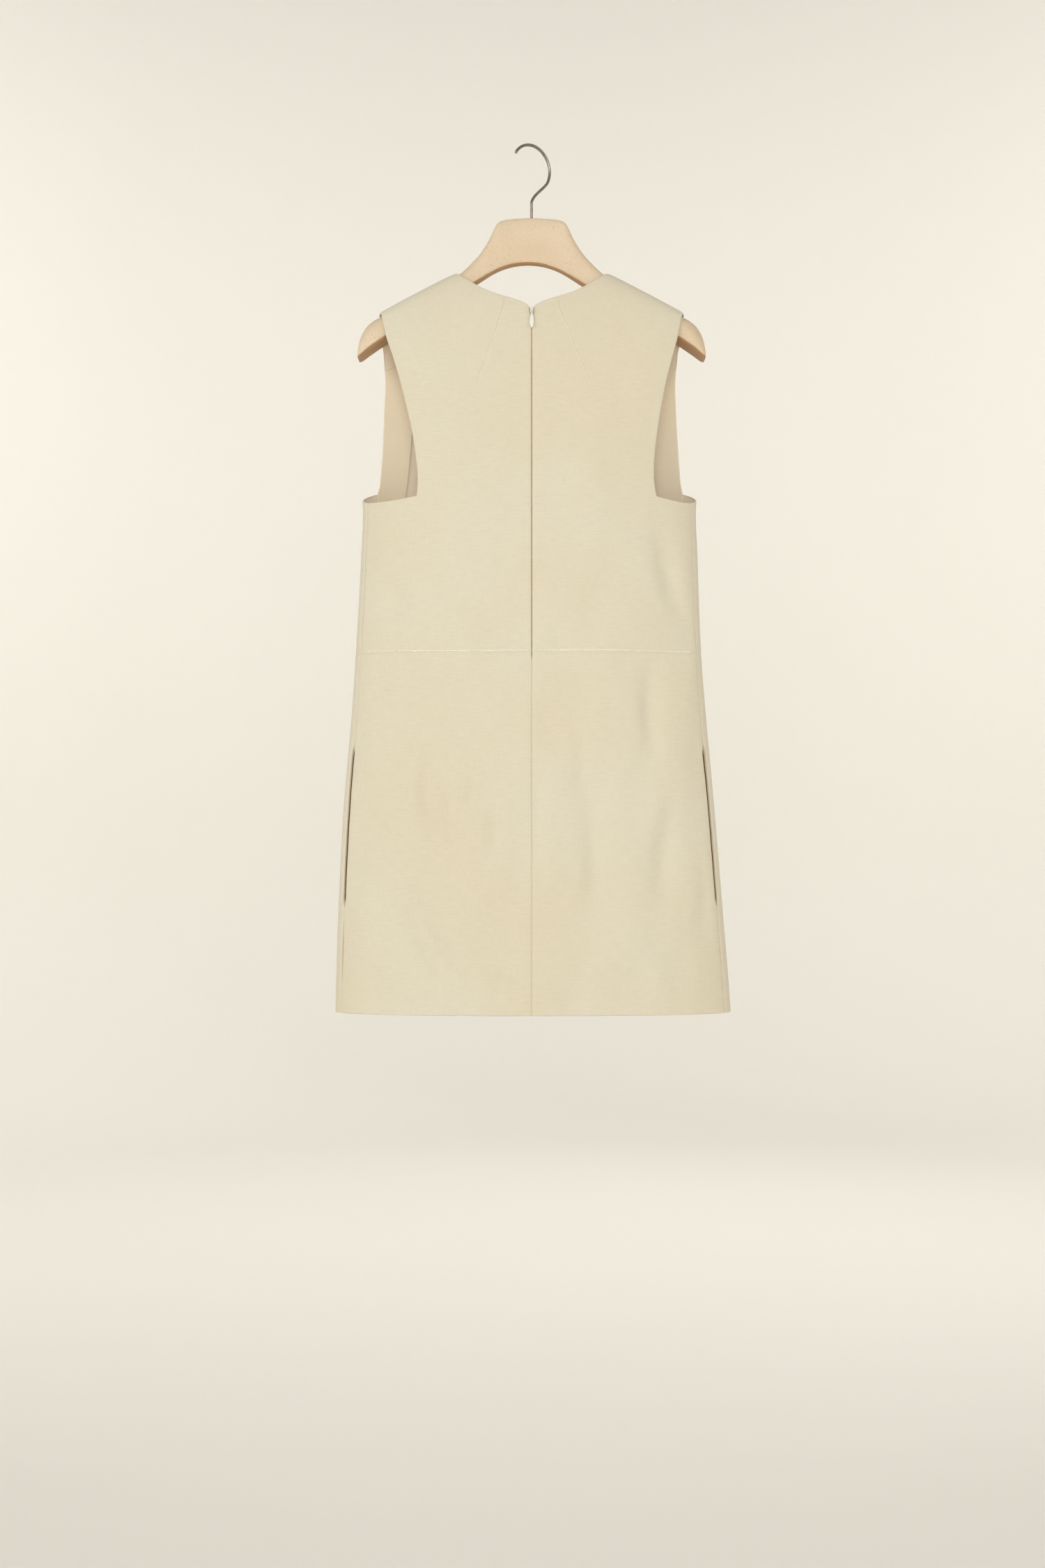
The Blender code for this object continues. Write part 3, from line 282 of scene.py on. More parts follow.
# The arch beneath the middle is a little off it, towards +X, and the shift fades outwards
ARCH_SHIFT = 4.0
ARCH_REACH = 120.0
ARCH_FADE = 50.0
HANGER_STATIONS = 72
HANGER_SECTION_POINTS = 64
HANGER_WIDEST_SHARE = 0.30
HANGER_POWER_MIDDLE = 3.6
HANGER_POWER_END = 2.0
HANGER_POWER_BELOW = 4.5
HANGER_MIDDLE_REACH = 90.0
HANGER_SHARP = 40.0
# Faces that point further down than this get the underside's painted shade
UNDERSIDE_TILT = -0.6
WIRE_RADIUS = 1.75
WIRE_SIDES = 20
WIRE_CAPS = 5
WIRE_CAP_TURN = math.pi / 2.2
WIRE_ACROSS = (0.3, 0.2, 0.93)
WIRE_SHARP = 50.0
HOOK_RADIUS = 26.5
HOOK_TIP_ANGLE = 33.0
HOOK_ARC_END = 208.0
HOOK_TURN = 37.0
HOOK_STEM_TOP_Z = -66.0
HOOK_SWEEP = 8.0
HOOK_STEM_SWEEP = 10.0
HOOK_STEM_BOTTOM_Z = -97.0
HOOK_POINTS = (60, 26, 12)           # on its bend, its sweep and its stem

# ---- the zip's slider and pull.  Outline columns: share of the length down, half width
SLIDER_HEIGHT = 8.4
SLIDER_TOP_Z = -190.3
PULL_LENGTH = 22.6
PULL_OUTLINE = ((0.0, 0.12), (0.02, 0.85), (0.06, 1.4), (0.11, 1.5), (0.19, 1.15), (0.27, 1.05),
                (0.34, 1.5), (0.50, 2.05), (0.68, 2.35), (0.80, 2.0), (0.90, 1.35), (0.96, 0.8),
                (1.0, 0.1))
PULL_ROWS = 44
PULL_RING = 1.9
PULL_HANG = 2.15
PULL_HOLE = 1.05
PULL_THICKNESS = 0.8
PULL_CUTS = 3
PULL_ROUND = 0.22
PULL_CORNER = 1.2
PULL_SHARP = 60.0

# ---- how each panel was cut: width and length in metres, and its flat area
HUNG_ON = ["hanger_moulding"]
CUTS = {
    "front_bodice": {"node": "front_bodice", "flat": (0.49, 0.47), "area": 0.158},
    "front_skirt": {"node": "front_skirt", "flat": (0.53, 0.45), "area": 0.202},
    "back_bodice": {"flat": (0.24, 0.46), "area": 0.073},
    "back_skirt": {"flat": (0.27, 0.45), "area": 0.087},
    "facing": {"flat": (0.03, 0.24), "rests_on": ["front_bodice_cloth"], "area": 0.0056},
    "bag": {"flat": (0.21, 0.26), "rests_on": ["front_skirt_cloth"]},
    "tape": {"flat": (0.012, 0.40), "rests_on": HUNG_ON},
}

# ---- sewing that shows
# Neck darts of the back, from the neckline down.  Columns: x, z
DARTS = {
    LEFT: ((30.9, -179.6), (32.9, -192.8), (43.9, -228.5), (54.9, -258.0), (63.3, -280.3)),
    RIGHT: ((-30.4, -181.0), (-31.6, -192.8), (-41.5, -216.1), (-51.5, -244.5), (-59.2, -261.6),
            (-65.8, -277.4)),
}
CENTRE_SEAM = ((0.0, -592.0), (0.0, -1000.0))
BACK_BODICES = ["back_bodice_cloth_left", "back_bodice_cloth_right"]
STITCH_PROUD = 0.12
STITCH_STEP = 1.5
STITCH_SEED = 7
# Lines of stitches.  Columns: kind, panels, face, line of x and z
STITCH_LINES = (
    ("dotted", BACK_BODICES, BACK, ((189.0, -583.9), (142.0, -584.2))),
    ("fine", BACK_BODICES, BACK, ((142.0, -584.2), (70.0, -584.8))),
    ("dotted", BACK_BODICES, BACK, ((70.0, -584.8), (53.0, -584.5))),
    ("fine", BACK_BODICES, BACK, ((53.0, -584.5), (5.7, -583.9))),
    ("dotted", BACK_BODICES, BACK, ((-4.5, -584.2), (-18.4, -583.8))),
    ("fine", BACK_BODICES, BACK, ((-18.4, -583.8), (-60.0, -583.4), (-110.8, -583.9))),
    ("dotted", BACK_BODICES, BACK, ((-110.8, -583.9), (-155.0, -584.6))),
    ("fine", BACK_BODICES, BACK, ((-155.0, -584.6), (-180.0, -584.8))),
    ("dotted", ["front_bodice_cloth"], FRONT, ((188.0, -584.2), (90.0, -584.8), (0.0, -584.6),
                                              (-90.0, -584.8), (-182.0, -584.2))),
    ("dart", BACK_BODICES[:1], BACK, ((32.4, -196.0), (43.2, -229.0), (54.2, -258.5),
                                    (62.6, -280.8))),
    ("dart", BACK_BODICES[1:], BACK, ((-31.0, -196.0), (-40.8, -216.6), (-50.8, -245.0),
                                    (-58.5, -262.1), (-65.1, -277.9))),
)

# Pieces set along paths, in metres.  Columns: pitch, length, thickness, share of unevenness
PATH_SIZES = ("Pitch", "Length", "Thickness", "Jitter")
ZIP_ELEMENTS = (0.0013, 0.0007, 0.0022, 0.0)
STITCHES = {
    "fine": ("topstitches", (0.0024, 0.0026, 0.0014, 0.12)),
    "dotted": ("pick_stitches", (0.0028, 0.0017, 0.0014, 0.4)),
    "dart": ("dart_stitches", (0.0026, 0.0018, 0.0013, 0.4)),
}

# ---- colours, each as its darker and its lighter tone
CREAM = ((0.695, 0.645, 0.505), (0.747, 0.706, 0.578))
# The next two are far paler than the cream of the same cloth: painted light on the dress's inside,
# seen through the armholes and neck
INSIDE_PAINTED_LIGHT = ((0.930, 0.815, 0.630), (0.955, 0.850, 0.675))
WRONG_SIDE_PAINTED_LIGHT = ((0.945, 0.835, 0.665), (0.970, 0.875, 0.715))
# Warm tan on a tape that is cream: painted shade of the narrow slit over the zip
TAPE_SHADE_TONES = ((0.86, 0.62, 0.39), (0.93, 0.71, 0.48))
# Dark brown: painted shade inside the pockets' slits, put on the bags' inner side
POCKET_SHADE_TONES = ((0.27, 0.125, 0.035), (0.36, 0.175, 0.06))
SLIDER_TONES = ((0.80, 0.77, 0.70), (0.88, 0.86, 0.80))
PULL_TONES = ((0.86, 0.82, 0.76), (0.92, 0.90, 0.86))
# Warm tan on the coil: painted shade of the slit over the zip
COIL_SHADE_TONES = ((0.80, 0.54, 0.31), (0.90, 0.64, 0.40))
HANGER_TONES = ((0.700, 0.550, 0.385), (0.775, 0.635, 0.470))
# Darker brown on the hanger's flat underside: painted shade
UNDERSIDE_SHADE_TONES = ((0.47, 0.265, 0.125), (0.57, 0.345, 0.185))
STEEL_TONES = ((0.25, 0.220, 0.180), (0.38, 0.340, 0.290))
THREAD_TONES = ((0.95, 0.93, 0.88), (0.98, 0.975, 0.95))
STUDIO_TONES = ((0.800, 0.775, 0.715), (0.830, 0.805, 0.750))
# Single tones: the clouds in the cloth, in the tape, the painted shade of the sewn lines and the
# hanger's flecks
CLOUD_WARM = (1.0, 0.955, 0.90)
CLOUD_PALE = (0.98, 0.97, 0.95)
SEAM_SHADE = (0.56, 0.46, 0.31)
HANGER_FLECK = (0.560, 0.370, 0.200)

# ---- finishes, in metres where they are lengths
WEAVE_THREADS = 1500.0
TAPE_THREADS = 3200.0
SLUB_STRETCH = (70.0, 620.0, 1.0)
ENDS_STRETCH = (560.0, 90.0, 1.0)
ENDS_SHARE = 0.45
WEAVE_RANGE = (0.42, 1.02)
CROSS_HEIGHT = 0.5
SLUB_HEIGHT = 3.0
CLOTH_SHINE = (0.93, 0.84)
CLOUD_SHARE = 0.75
DART_LINE = 0.0005
DART_SHADE = 0.45
CENTRE_SEAM_SHADE = 0.6
SEAM_SINK = 3.0
FLECK_SHARE = 0.75
FLECK_EDGE = 0.72
FLECK_SPREAD = 0.25
FLECK_SOFTNESS = 0.08
GRAIN_RANGE = (0.3, 0.7)
HANGER_SHINE = (0.52, 0.70)
LACQUER_SHINE = (-0.08, 0.10)        # from its own roughness

# ---- studio, lights and camera, in metres
FLOOR_Z = -1.75
FLOOR_RADIUS = 3.2
COVE = 0.9
WALL_TOP_Z = 3.2
STUDIO_SIDES = 96
STUDIO_FLOOR_RINGS = 8
STUDIO_COVE_RINGS = 12
CAMERA_PLACE = (0.01046, 2.2, -0.7356)
LENS = 43.74
FILM_HEIGHT = 36.0
CLIP_NEAR, CLIP_FAR = 0.05, 60.0
# Columns: name, place, aim, size, power
LIGHTS = (
    ("window_key", (2.9, 2.5, 0.6), (0.0, 0.0, -0.5), 1.6, 27.5),
    ("front_soft", (0.0, 3.7, -0.35), (0.0, 0.0, -0.35), 1.2, 34.5),
    ("fill", (-3.0, 2.4, 0.2), (0.0, 0.0, -0.6), 2.2, 8.5),
    ("overhead", (0.0, 0.5, 2.9), (0.0, 0.0, -0.6), 3.0, 8.0),
    ("far_side", (-0.9, -3.3, 0.6), (0.0, 0.0, 0.6), 1.6, 24.0),
    ("wall_left", (2.2, -1.3, 0.9), (0.8, -3.9, -0.1), 2.0, 34.0),
    ("wall_right", (-2.2, -1.3, 0.9), (-0.8, -3.9, -0.1), 2.0, 34.0),
    ("wall_front_left", (2.2, 1.3, 0.9), (0.8, 3.9, -0.1), 2.0, 16.0),
    ("wall_front_right", (-2.2, 1.3, 0.9), (-0.8, 3.9, -0.1), 2.0, 16.0),
)
WORLD_COLOR = (1.0, 1.0, 1.0)
WORLD_STRENGTH = 0.26


# ---- curves and the cloth's form

def ease(share):
    """Smooth step from 0 to 1."""
    share = np.clip(share, 0.0, 1.0)
    return share * share * (3.0 - 2.0 * share)


def bell(off):
    """Bell curve: 1 at 0, and near 0 past 2."""
    return np.exp(-off * off)


def band(distance, width, fade):
    """1 within a width and 0 beyond it, with a soft edge."""
    return 1.0 - ease((distance - width + 0.5 * fade) / fade)


def curve_through(xs, ys, x):
    """Values at x of a smooth curve through the points, whose xs rise."""
    xs, ys, x = (np.asarray(item, float) for item in (xs, ys, x))
    low = np.clip(np.searchsorted(xs, x, side="right") - 1, 0, len(xs) - 2)
    before, after = np.maximum(low - 1, 0), np.minimum(low + 2, len(xs) - 1)
    span = xs[low + 1] - xs[low]
    slope_low = (ys[low + 1] - ys[before]) / (xs[low + 1] - xs[before])
    slope_high = (ys[after] - ys[low]) / (xs[after] - xs[low])
    t = np.clip((x - xs[low]) / span, 0.0, 1.0)
    value = ((1.0 - ease(t)) * ys[low] + ease(t) * ys[low + 1]
             + (t - 2 * t * t + t ** 3) * span * slope_low + (t ** 3 - t * t) * span * slope_high)
    below = ys[0] + (ys[1] - ys[0]) / (xs[1] - xs[0]) * (x - xs[0])
    above = ys[-1] + (ys[-1] - ys[-2]) / (xs[-1] - xs[-2]) * (x - xs[-1])
    return np.where(x <= xs[0], below, np.where(x >= xs[-1], above, value))


def half_width(side, z):
    """Distance from the middle to the dress's side fold."""
    return curve_through(SECTIONS[:, 0], SECTIONS[:, 1 if side == LEFT else 2], z)


def full_depth(face, z):
    """Distance from the hanger's plane to the middle of the back or front."""
    return curve_through(SECTIONS[:, 0], SECTIONS[:, 3 if face == BACK else 4], z)


def ridge_z(x):
    """Height of the cloth's top line over the hanger."""
    reach = np.abs(x) - NECK_POINT_X
    reach = reach + np.hypot(reach, RIDGE_SOFTNESS)
    return NECK_POINT_Z + RIDGE_RISE - SHOULDER_SLOPE * 0.5 * reach


def ridge_power(x):
    """Roundness of the bend over the hanger."""
    share = (np.abs(x) - NECK_POINT_X) / (SHOULDER_TIP_X - NECK_POINT_X)
    return RIDGE_POWER_NECK + (RIDGE_POWER_TIP - RIDGE_POWER_NECK) * ease(share)


def side_fade(side, x, z):
    """1 on the flat of the dress and 0 at its side folds."""
    return ease((1.0 - np.abs(x) / half_width(side, z)) / (1.0 - FOLD_FADE_SIDE))


def fold_depth(face, side, x, z):
    """How far the broad folds move the cloth out."""
    total = np.zeros(np.broadcast(x, z).shape)
    for x_top, z_top, x_bottom, z_bottom, reach, depth in BROAD_FOLDS[face]:
        share = (z_top - z) / (z_top - z_bottom)
        off = (x - (x_top + (x_bottom - x_top) * share)) / reach
        inside = (share > 0.0) & (share < 1.0)
        total += np.where(inside, depth * bell(off) * np.sin(math.pi * share), 0.0)
    return total * side_fade(side, x, z) * ease((ridge_z(x) - z) / FOLD_FADE_TOP)


def bend_table(face, side):
    """Depth and height of the cloth over the hanger: a row for each x, a column for each drop."""
    depths, heights = [], []
    turns = np.linspace(0.0, math.pi / 2.0, BEND_STEPS) ** 2 / (math.pi / 2.0)
    for x in REACHES:
        height, power = ridge_z(x) - UNDERARM_Z, ridge_power(x)
        z = ridge_z(x) - height * (1.0 - np.cos(turns) ** (2.0 / power))
        aside = np.minimum(x / half_width(side, z), 1.0)
        flat = (1.0 - aside ** SECTION_POWER) ** (1.0 / SECTION_POWER)
        y = full_depth(face, z) * flat * np.sin(turns) ** (2.0 / power)
        drops = np.concatenate(([0.0], np.cumsum(np.hypot(np.diff(y), np.diff(z)))))
        depths.append(np.interp(DROPS, drops, y))
        heights.append(np.interp(DROPS, drops, z) - np.maximum(DROPS - drops[-1], 0.0))
    return np.array(depths), np.array(heights)


BENDS = {(face, side): bend_table(face, side) for face in (BACK, FRONT) for side in (LEFT, RIGHT)}


def blend_table(values, x, drop):
    """A table's value between its rows and columns."""
    col = np.clip(x, 0.0, REACHES[-1] - 1e-6)
    row = np.clip(drop, 0.0, DROPS[-1] - 1e-6)
    i, j = col.astype(int), row.astype(int)
    u, v = col - i, row - j
    return ((1 - u) * (1 - v) * values[i, j] + u * (1 - v) * values[i + 1, j]
            + (1 - u) * v * values[i, j + 1] + u * v * values[i + 1, j + 1])


def cloth_over(face, side, x, drop):
    """Points at distances down from the top line; a negative one crosses over it."""
    x, drop = np.broadcast_arrays(np.asarray(x, float), np.asarray(drop, float))
    points = np.empty(x.shape + (3,))
    for own, here in ((face, drop >= 0.0), (-face, drop < 0.0)):
        depths, heights = BENDS[own, side]
        y = blend_table(depths, x[here], np.abs(drop[here]))
        z = blend_table(heights, x[here], np.abs(drop[here]))
        across = side * x[here]
        points[here] = np.stack((across, own * (y + fold_depth(own, side, across, z)), z), -1)
    return points


def drop_to(face, side, x, z):
    """Distance down the cloth from its top line to a height, at one x."""
    heights = BENDS[face, side][1]
    i = min(int(x), len(REACHES) - 2)
    column = heights[i] + (heights[i + 1] - heights[i]) * (x - i)
    return float(np.interp(-z, -column, DROPS))


def turn_at(side, x, z):
    """Angle round a section, from the centre back, at which it reaches x."""
    return np.arcsin(np.minimum(np.abs(x) / half_width(side, z), 1.0) ** (SECTION_POWER / 2.0))


def cloth_round(side, turn, z):
    """Points at angles round their sections."""
    sine, cosine = np.sin(turn), np.cos(turn)
    x = side * half_width(side, z) * np.sign(sine) * np.abs(sine) ** (2.0 / SECTION_POWER)
    rounded = np.abs(cosine) ** (2.0 / SECTION_POWER)
    back = full_depth(BACK, z) * rounded + fold_depth(BACK, side, x, z)
    front = full_depth(FRONT, z) * rounded + fold_depth(FRONT, side, x, z)
    return np.stack(np.broadcast_arrays(x, np.where(cosine > 0.0, back, -front), z), -1)


def side_seam_turn(side, z):
    """Angle round the section of the side seam."""
    share = (z - UNDERARM_Z) / (HEM_Z - UNDERARM_Z)
    inset = SIDE_SEAM_INSET + (SIDE_SEAM_INSET_HEM - SIDE_SEAM_INSET) * share
    return turn_at(side, half_width(side, z) - inset, z)


def turn_for_length(side, turn, z, length):
    """Change of angle that moves a point by a length."""
    span = cloth_round(side, turn + TURN_STEP, z) - cloth_round(side, turn - TURN_STEP, z)
    return length * 2.0 * TURN_STEP / np.linalg.norm(span, axis=-1)


def pocket_gap(z):
    """Half the width of the side seam's opening."""
    share = (z - POCKET_BOTTOM_Z) / (POCKET_TOP_Z - POCKET_BOTTOM_Z)
    open_share = ease(share / POCKET_TAPER_SHARE) * ease((1.0 - share) / POCKET_TAPER_SHARE)
    return 0.5 * (SEAM_TOUCH + (POCKET_SLIT - SEAM_TOUCH) * open_share)


def centre_gap(face, z):
    """Half the gap between the back's halves, wide round the zip's slider."""
    z = np.asarray(z, float)
    if face == FRONT:
        return np.zeros(z.shape)
    below_neck = NECKLINES[BACK][0][1] - z
    return np.where(z < ZIP_END_Z, 0.5 * SEAM_TOUCH, np.interp(below_neck, *zip(*ZIP_EDGE)))


def underarm_z(face, col):
    """Height of the bodice's underarm row."""
    corner_z = ARMHOLES[face, LEFT][0][0]
    inner = UNDERARM_Z + (corner_z - UNDERARM_Z) * (col / ARMHOLE_COLUMN) ** UNDERARM_POWER
    share = (col - ARMHOLE_COLUMN) / (SIDE_COLUMN[face] - ARMHOLE_COLUMN)
    return np.where(col <= ARMHOLE_COLUMN, inner, curve_through(*zip(*UNDERARMS[face]), share))


def section_turn(face, side, col, z):
    """Angle round the section of a half panel's column: centre, armhole line, side seam."""
    corner_z, corner_x = ARMHOLES[face, side][0]
    reach = corner_x * half_width(side, z) / half_width(side, corner_z)
    gap = centre_gap(face, z)
    turn = turn_at(side, gap + (reach - gap) * np.minimum(col / ARMHOLE_COLUMN, 1.0), z)
    if face == FRONT:
        turn = math.pi - turn
    seam = side_seam_turn(side, z)
    seam = seam - face * turn_for_length(side, seam, z, pocket_gap(z))
    share = np.maximum(col - ARMHOLE_COLUMN, 0.0) / (SIDE_COLUMN[face] - ARMHOLE_COLUMN)
    return turn + (seam - turn) * share


def panel_points(face, side, cols, z):
    """Points of a half panel's columns at heights below its armhole."""
    return cloth_round(side, section_turn(face, side, cols, z), z)


def low_points(face, side, cols, rows):
    """Lower block of a half bodice: from the waist to the underarm row."""
    low_z = WAIST_Z + 0.5 * SEAM_TOUCH
    z = low_z + (underarm_z(face, cols) - low_z) * rows[:, None] / LOW_ROWS
    return panel_points(face, side, cols, z)


def along_line(points, share):
    """Places at shares of the length of a smooth curve through points of a plane."""
    points = np.asarray(points, float)
    lengths = np.concatenate(([0.0], np.cumsum(np.linalg.norm(np.diff(points, axis=0), axis=1))))
    at = np.asarray(share, float) * lengths[-1]
    return np.stack([curve_through(lengths, points[:, k], at) for k in (0, 1)])


def armhole_line(face, side):
    """Armhole edge from its corner to the strip over the hanger, as x and drop."""
    line = [(x, drop_to(face, side, x, z)) for z, x in ARMHOLES[face, side]]
    strip = STRIP_DROP[face]
    line = [point for point in line if point[1] > strip + STRIP_CLEARANCE]
    share = (line[-1][1] - strip) / line[-1][1]
    return line + [(line[-1][0] + (SHOULDER_TIP_X - line[-1][0]) * share, strip)]


def neck_line(face, side):
    """Neckline from the centre to its split, as x and drop."""
    line = [(x, drop_to(face, side, x, z)) for x, z in NECKLINES[face]]
    return [(float(centre_gap(face, NECKLINES[face][0][1])), line[0][1])] + line[1:]


# ---- grids of the panels

def chest_points(face, side, cols, shares):
    """Chest block: between the underarm row, the neckline, the centre and the armhole."""
    neck, armhole = neck_line(face, side), armhole_line(face, side)
    corner_x = ARMHOLES[face, side][0][1]
    u, v = cols / ARMHOLE_COLUMN, shares[:, None]
    low_z = underarm_z(face, cols)
    gap = centre_gap(face, low_z)
    low_x = gap + (corner_x - gap) * u
    low = np.array([low_x, [drop_to(face, side, x, z) for x, z in zip(low_x, low_z)]])
    split = NECK_COLUMN / ARMHOLE_COLUMN
    ends = np.array([neck[-1], armhole[-1]]).T
    over = np.clip((u - split) / (1.0 - split), 0.0, 1.0)
    high = np.where(u <= split, along_line(neck, np.minimum(u / split, 1.0)),
                    ends[:, :1] + (ends[:, 1:] - ends[:, :1]) * over)
    middle_drop = low[1, 0] + (neck[0][1] - low[1, 0]) * shares
    middle_z = cloth_over(face, side, np.zeros(len(shares)), middle_drop)[:, 2]
    left = np.array([centre_gap(face, middle_z), middle_drop])
    right = along_line(armhole, shares)
    x, drop = ((1 - v) * low[k] + v * high[k] + (1 - u) * left[k][:, None] + u * right[k][:, None]
               - (1 - u) * (1 - v) * low[k, 0] - u * (1 - v) * low[k, -1]
               - (1 - u) * v * high[k, 0] - u * v * high[k, -1] for k in (0, 1))
    return cloth_over(face, side, x, drop)


def strip_points(face, side, cols, shares):
    """Strip over the hanger, from the neck edge to the armhole edge."""
    neck, armhole = neck_line(face, side), armhole_line(face, side)
    inner = along_line([neck[-1], *NECK_SIDES[face]], shares)
    seam_drop = NECK_SIDES[face][-1][1]
    tip_x = armhole[-1][0] + (SHOULDER_TIP_X - armhole[-1][0]) * ease(shares * STRIP_EDGE_HASTE)
    outer = np.array([tip_x, armhole[-1][1] + (seam_drop - armhole[-1][1]) * shares])
    u = (cols - NECK_COLUMN) / (ARMHOLE_COLUMN - NECK_COLUMN)
    x, drop = (inner[k][:, None] + (outer[k] - inner[k])[:, None] * u for k in (0, 1))
    return cloth_over(face, side, x, drop)


def graded(start, stop, step, fine_start=(), fine_stop=()):
    """Even places from start to stop, with finer ones near the ends."""
    even = np.linspace(start, stop, max(1, round((stop - start) / step)) + 1)
    low = start + (fine_start[-1] if fine_start else 0.0)
    high = stop - (fine_stop[-1] if fine_stop else 0.0)
    clear = FINE_CLEARANCE * step
    even = [at for at in even if low + clear < at < high - clear]
    fine = [start, stop, *(start + at for at in fine_start), *(stop - at for at in fine_stop)]
    return np.unique(np.round(np.concatenate((even, fine)), 6))


def half_columns(face):
    """Columns of a half panel, finer beside its seams and edges."""
    return np.unique(np.concatenate((
        graded(0.0, NECK_COLUMN, COLUMN_STEP, FINE_COLUMNS if face == BACK else ()),
        graded(NECK_COLUMN, ARMHOLE_COLUMN, COLUMN_STEP, FINE_COLUMNS, FINE_COLUMNS),
        graded(ARMHOLE_COLUMN, SIDE_COLUMN[face], COLUMN_STEP, (), FINE_COLUMNS))))


def blank_marks(grid, names):
    """Marks of a grid's places, none set yet."""
    return {name: np.zeros(grid.shape[:2], bool) for name in names}


def half_bodice(face, side):
    """Grid of a half bodice, from the waist up; its neck and armhole places are left empty."""
    cols = half_columns(face)
    low_rows = graded(0.0, LOW_ROWS, LOW_ROWS / BODICE_ROWS, FINE_LOW_ROWS, FINE_LOW_ROWS)
    chest = graded(0.0, 1.0, CHEST_STEP, (), FINE_CHEST_ROWS)[1:]
    strip = graded(0.0, 1.0, STRIP_STEP, (), FINE_STRIP_ROWS)[1:]
    inside = cols <= ARMHOLE_COLUMN
    over = inside & (cols >= NECK_COLUMN)
    first, second = len(low_rows), len(low_rows) + len(chest)
    grid = np.full((second + len(strip), len(cols), 3), np.nan)
    grid[:first] = low_points(face, side, cols, low_rows)
    grid[first:second, inside] = chest_points(face, side, cols[inside], chest)
    grid[second:, over] = strip_points(face, side, cols[over], strip)
    marks = blank_marks(grid, ("seam", "edge"))
    marks["seam"][:second, 0] = face == BACK
    marks["seam"][0] = True
    marks["seam"][-1, over] = True
    marks["seam"][:first, -1] = True
    marks["edge"][second - 1, cols <= NECK_COLUMN] = True
    marks["edge"][second - 1:, cols == NECK_COLUMN] = True
    marks["edge"][first - 1:, cols == ARMHOLE_COLUMN] = True
    marks["edge"][first - 1, cols >= ARMHOLE_COLUMN] = True
    return grid, marks


def half_skirt(face, side):
    """Grid of a half skirt, from the hem up."""
    z = graded(HEM_Z, WAIST_Z - 0.5 * SEAM_TOUCH, (WAIST_Z - HEM_Z) / SKIRT_ROWS,
               FINE_HEM_ROWS, FINE_WAIST_ROWS)[:, None]
    grid = panel_points(face, side, half_columns(face), z)
    marks = blank_marks(grid, ("seam", "edge", "hem"))
    marks["seam"][:, 0] = face == BACK
    marks["seam"][-1] = True
    marks["seam"][:, -1] = True
    marks["hem"][0] = True
    return grid, marks


def both_halves(make, face):
    """A whole panel: its two halves joined at the centre."""
    (left, marks_left), (right, marks_right) = make(face, LEFT), make(face, RIGHT)
    grid = np.concatenate((right[:, :0:-1], left), axis=1)
    marks = {name: np.concatenate((marks_right[name][:, :0:-1], marks_left[name]), axis=1)
             for name in marks_left}
    return grid, marks


# ---- cloth pieces

def crease_lift(face, points):
    """Height of the laid creases and the slow unevenness at each point."""
    x, z = points[:, 0], points[:, 2]
    total = np.zeros(len(points))
    for ax, az, bx, bz, reach, depth in CREASES[face]:
        length = math.hypot(bx - ax, bz - az)
        dx, dz = (bx - ax) / length, (bz - az) / length
        along = ((x - ax) * dx + (z - az) * dz) / length
        off = ((x - ax) * dz - (z - az) * dx) / reach
        wander = CREASE_WANDER * np.sin(CREASE_WAVES * along + CREASE_PHASE * ax)
        swell = np.sin(math.pi * np.clip(along, 0.0, 1.0)) ** CREASE_SWELL
        total += depth * bell(off + wander) * swell
    for across, down, phase, height in RIPPLES:
        total += height * np.sin(2.0 * math.pi * (x / across + z / down) + phase + face)
    fade = np.where(x >= 0.0, side_fade(LEFT, x, z), side_fade(RIGHT, x, z))
    gain = 1.0 + (CREASE_GAIN_LOW - 1.0) * ease((CREASE_GAIN_TOP_Z - z) / CREASE_GAIN_FADE)
    return total * gain * fade * ease((ridge_z(x) - z) / FOLD_FADE_TOP)


def nearest(points, targets):
    """Distance from each point to the nearest target."""
    if not len(targets):
        return np.full(len(points), FAR)
    return np.concatenate([
        np.sqrt(((points[start:start + CHUNK, None] - targets[None]) ** 2).sum(-1).min(axis=1))
        for start in range(0, len(points), CHUNK)])


def line_distance(points, line):
    """Distance in x and z from each point to a broken line."""
    best = np.full(len(points), FAR)
    flat = points[:, [0, 2]]
    for start, stop in zip(np.array(line[:-1]), np.array(line[1:])):
        span = stop - start
        along = np.clip(((flat - start) @ span) / (span @ span), 0, 1)
        best = np.minimum(best, np.linalg.norm(flat - start - along[:, None] * span, axis=1))
    return best


def grid_faces(grid):
    """Points of a grid that are cloth, their numbers, and the quads between them."""
    there = ~np.isnan(grid[..., 0])
    number = np.full(there.shape, -1)
    number[there] = np.arange(there.sum())
    a, b, c, d = number[:-1, :-1], number[:-1, 1:], number[1:, 1:], number[1:, :-1]
    whole = (a >= 0) & (b >= 0) & (c >= 0) & (d >= 0)
    quads = np.stack((a[whole], b[whole], c[whole], d[whole]), axis=1)
    return grid[there], number, quads


def point_normals(points, quads, outward):
    """Normals at the points; outward says which way is out on the whole."""
    a, b, c, d = points[quads].transpose(1, 0, 2)
    cross = np.cross(c - a, d - b)
    if (cross.sum(axis=0) @ np.asarray(outward, float)) < 0.0:
        quads = quads[:, ::-1]
        cross = -cross
    normals = np.zeros_like(points)
    for k in range(4):
        np.add.at(normals, quads[:, k], cross)
    return normals / np.linalg.norm(normals, axis=1)[:, None], quads


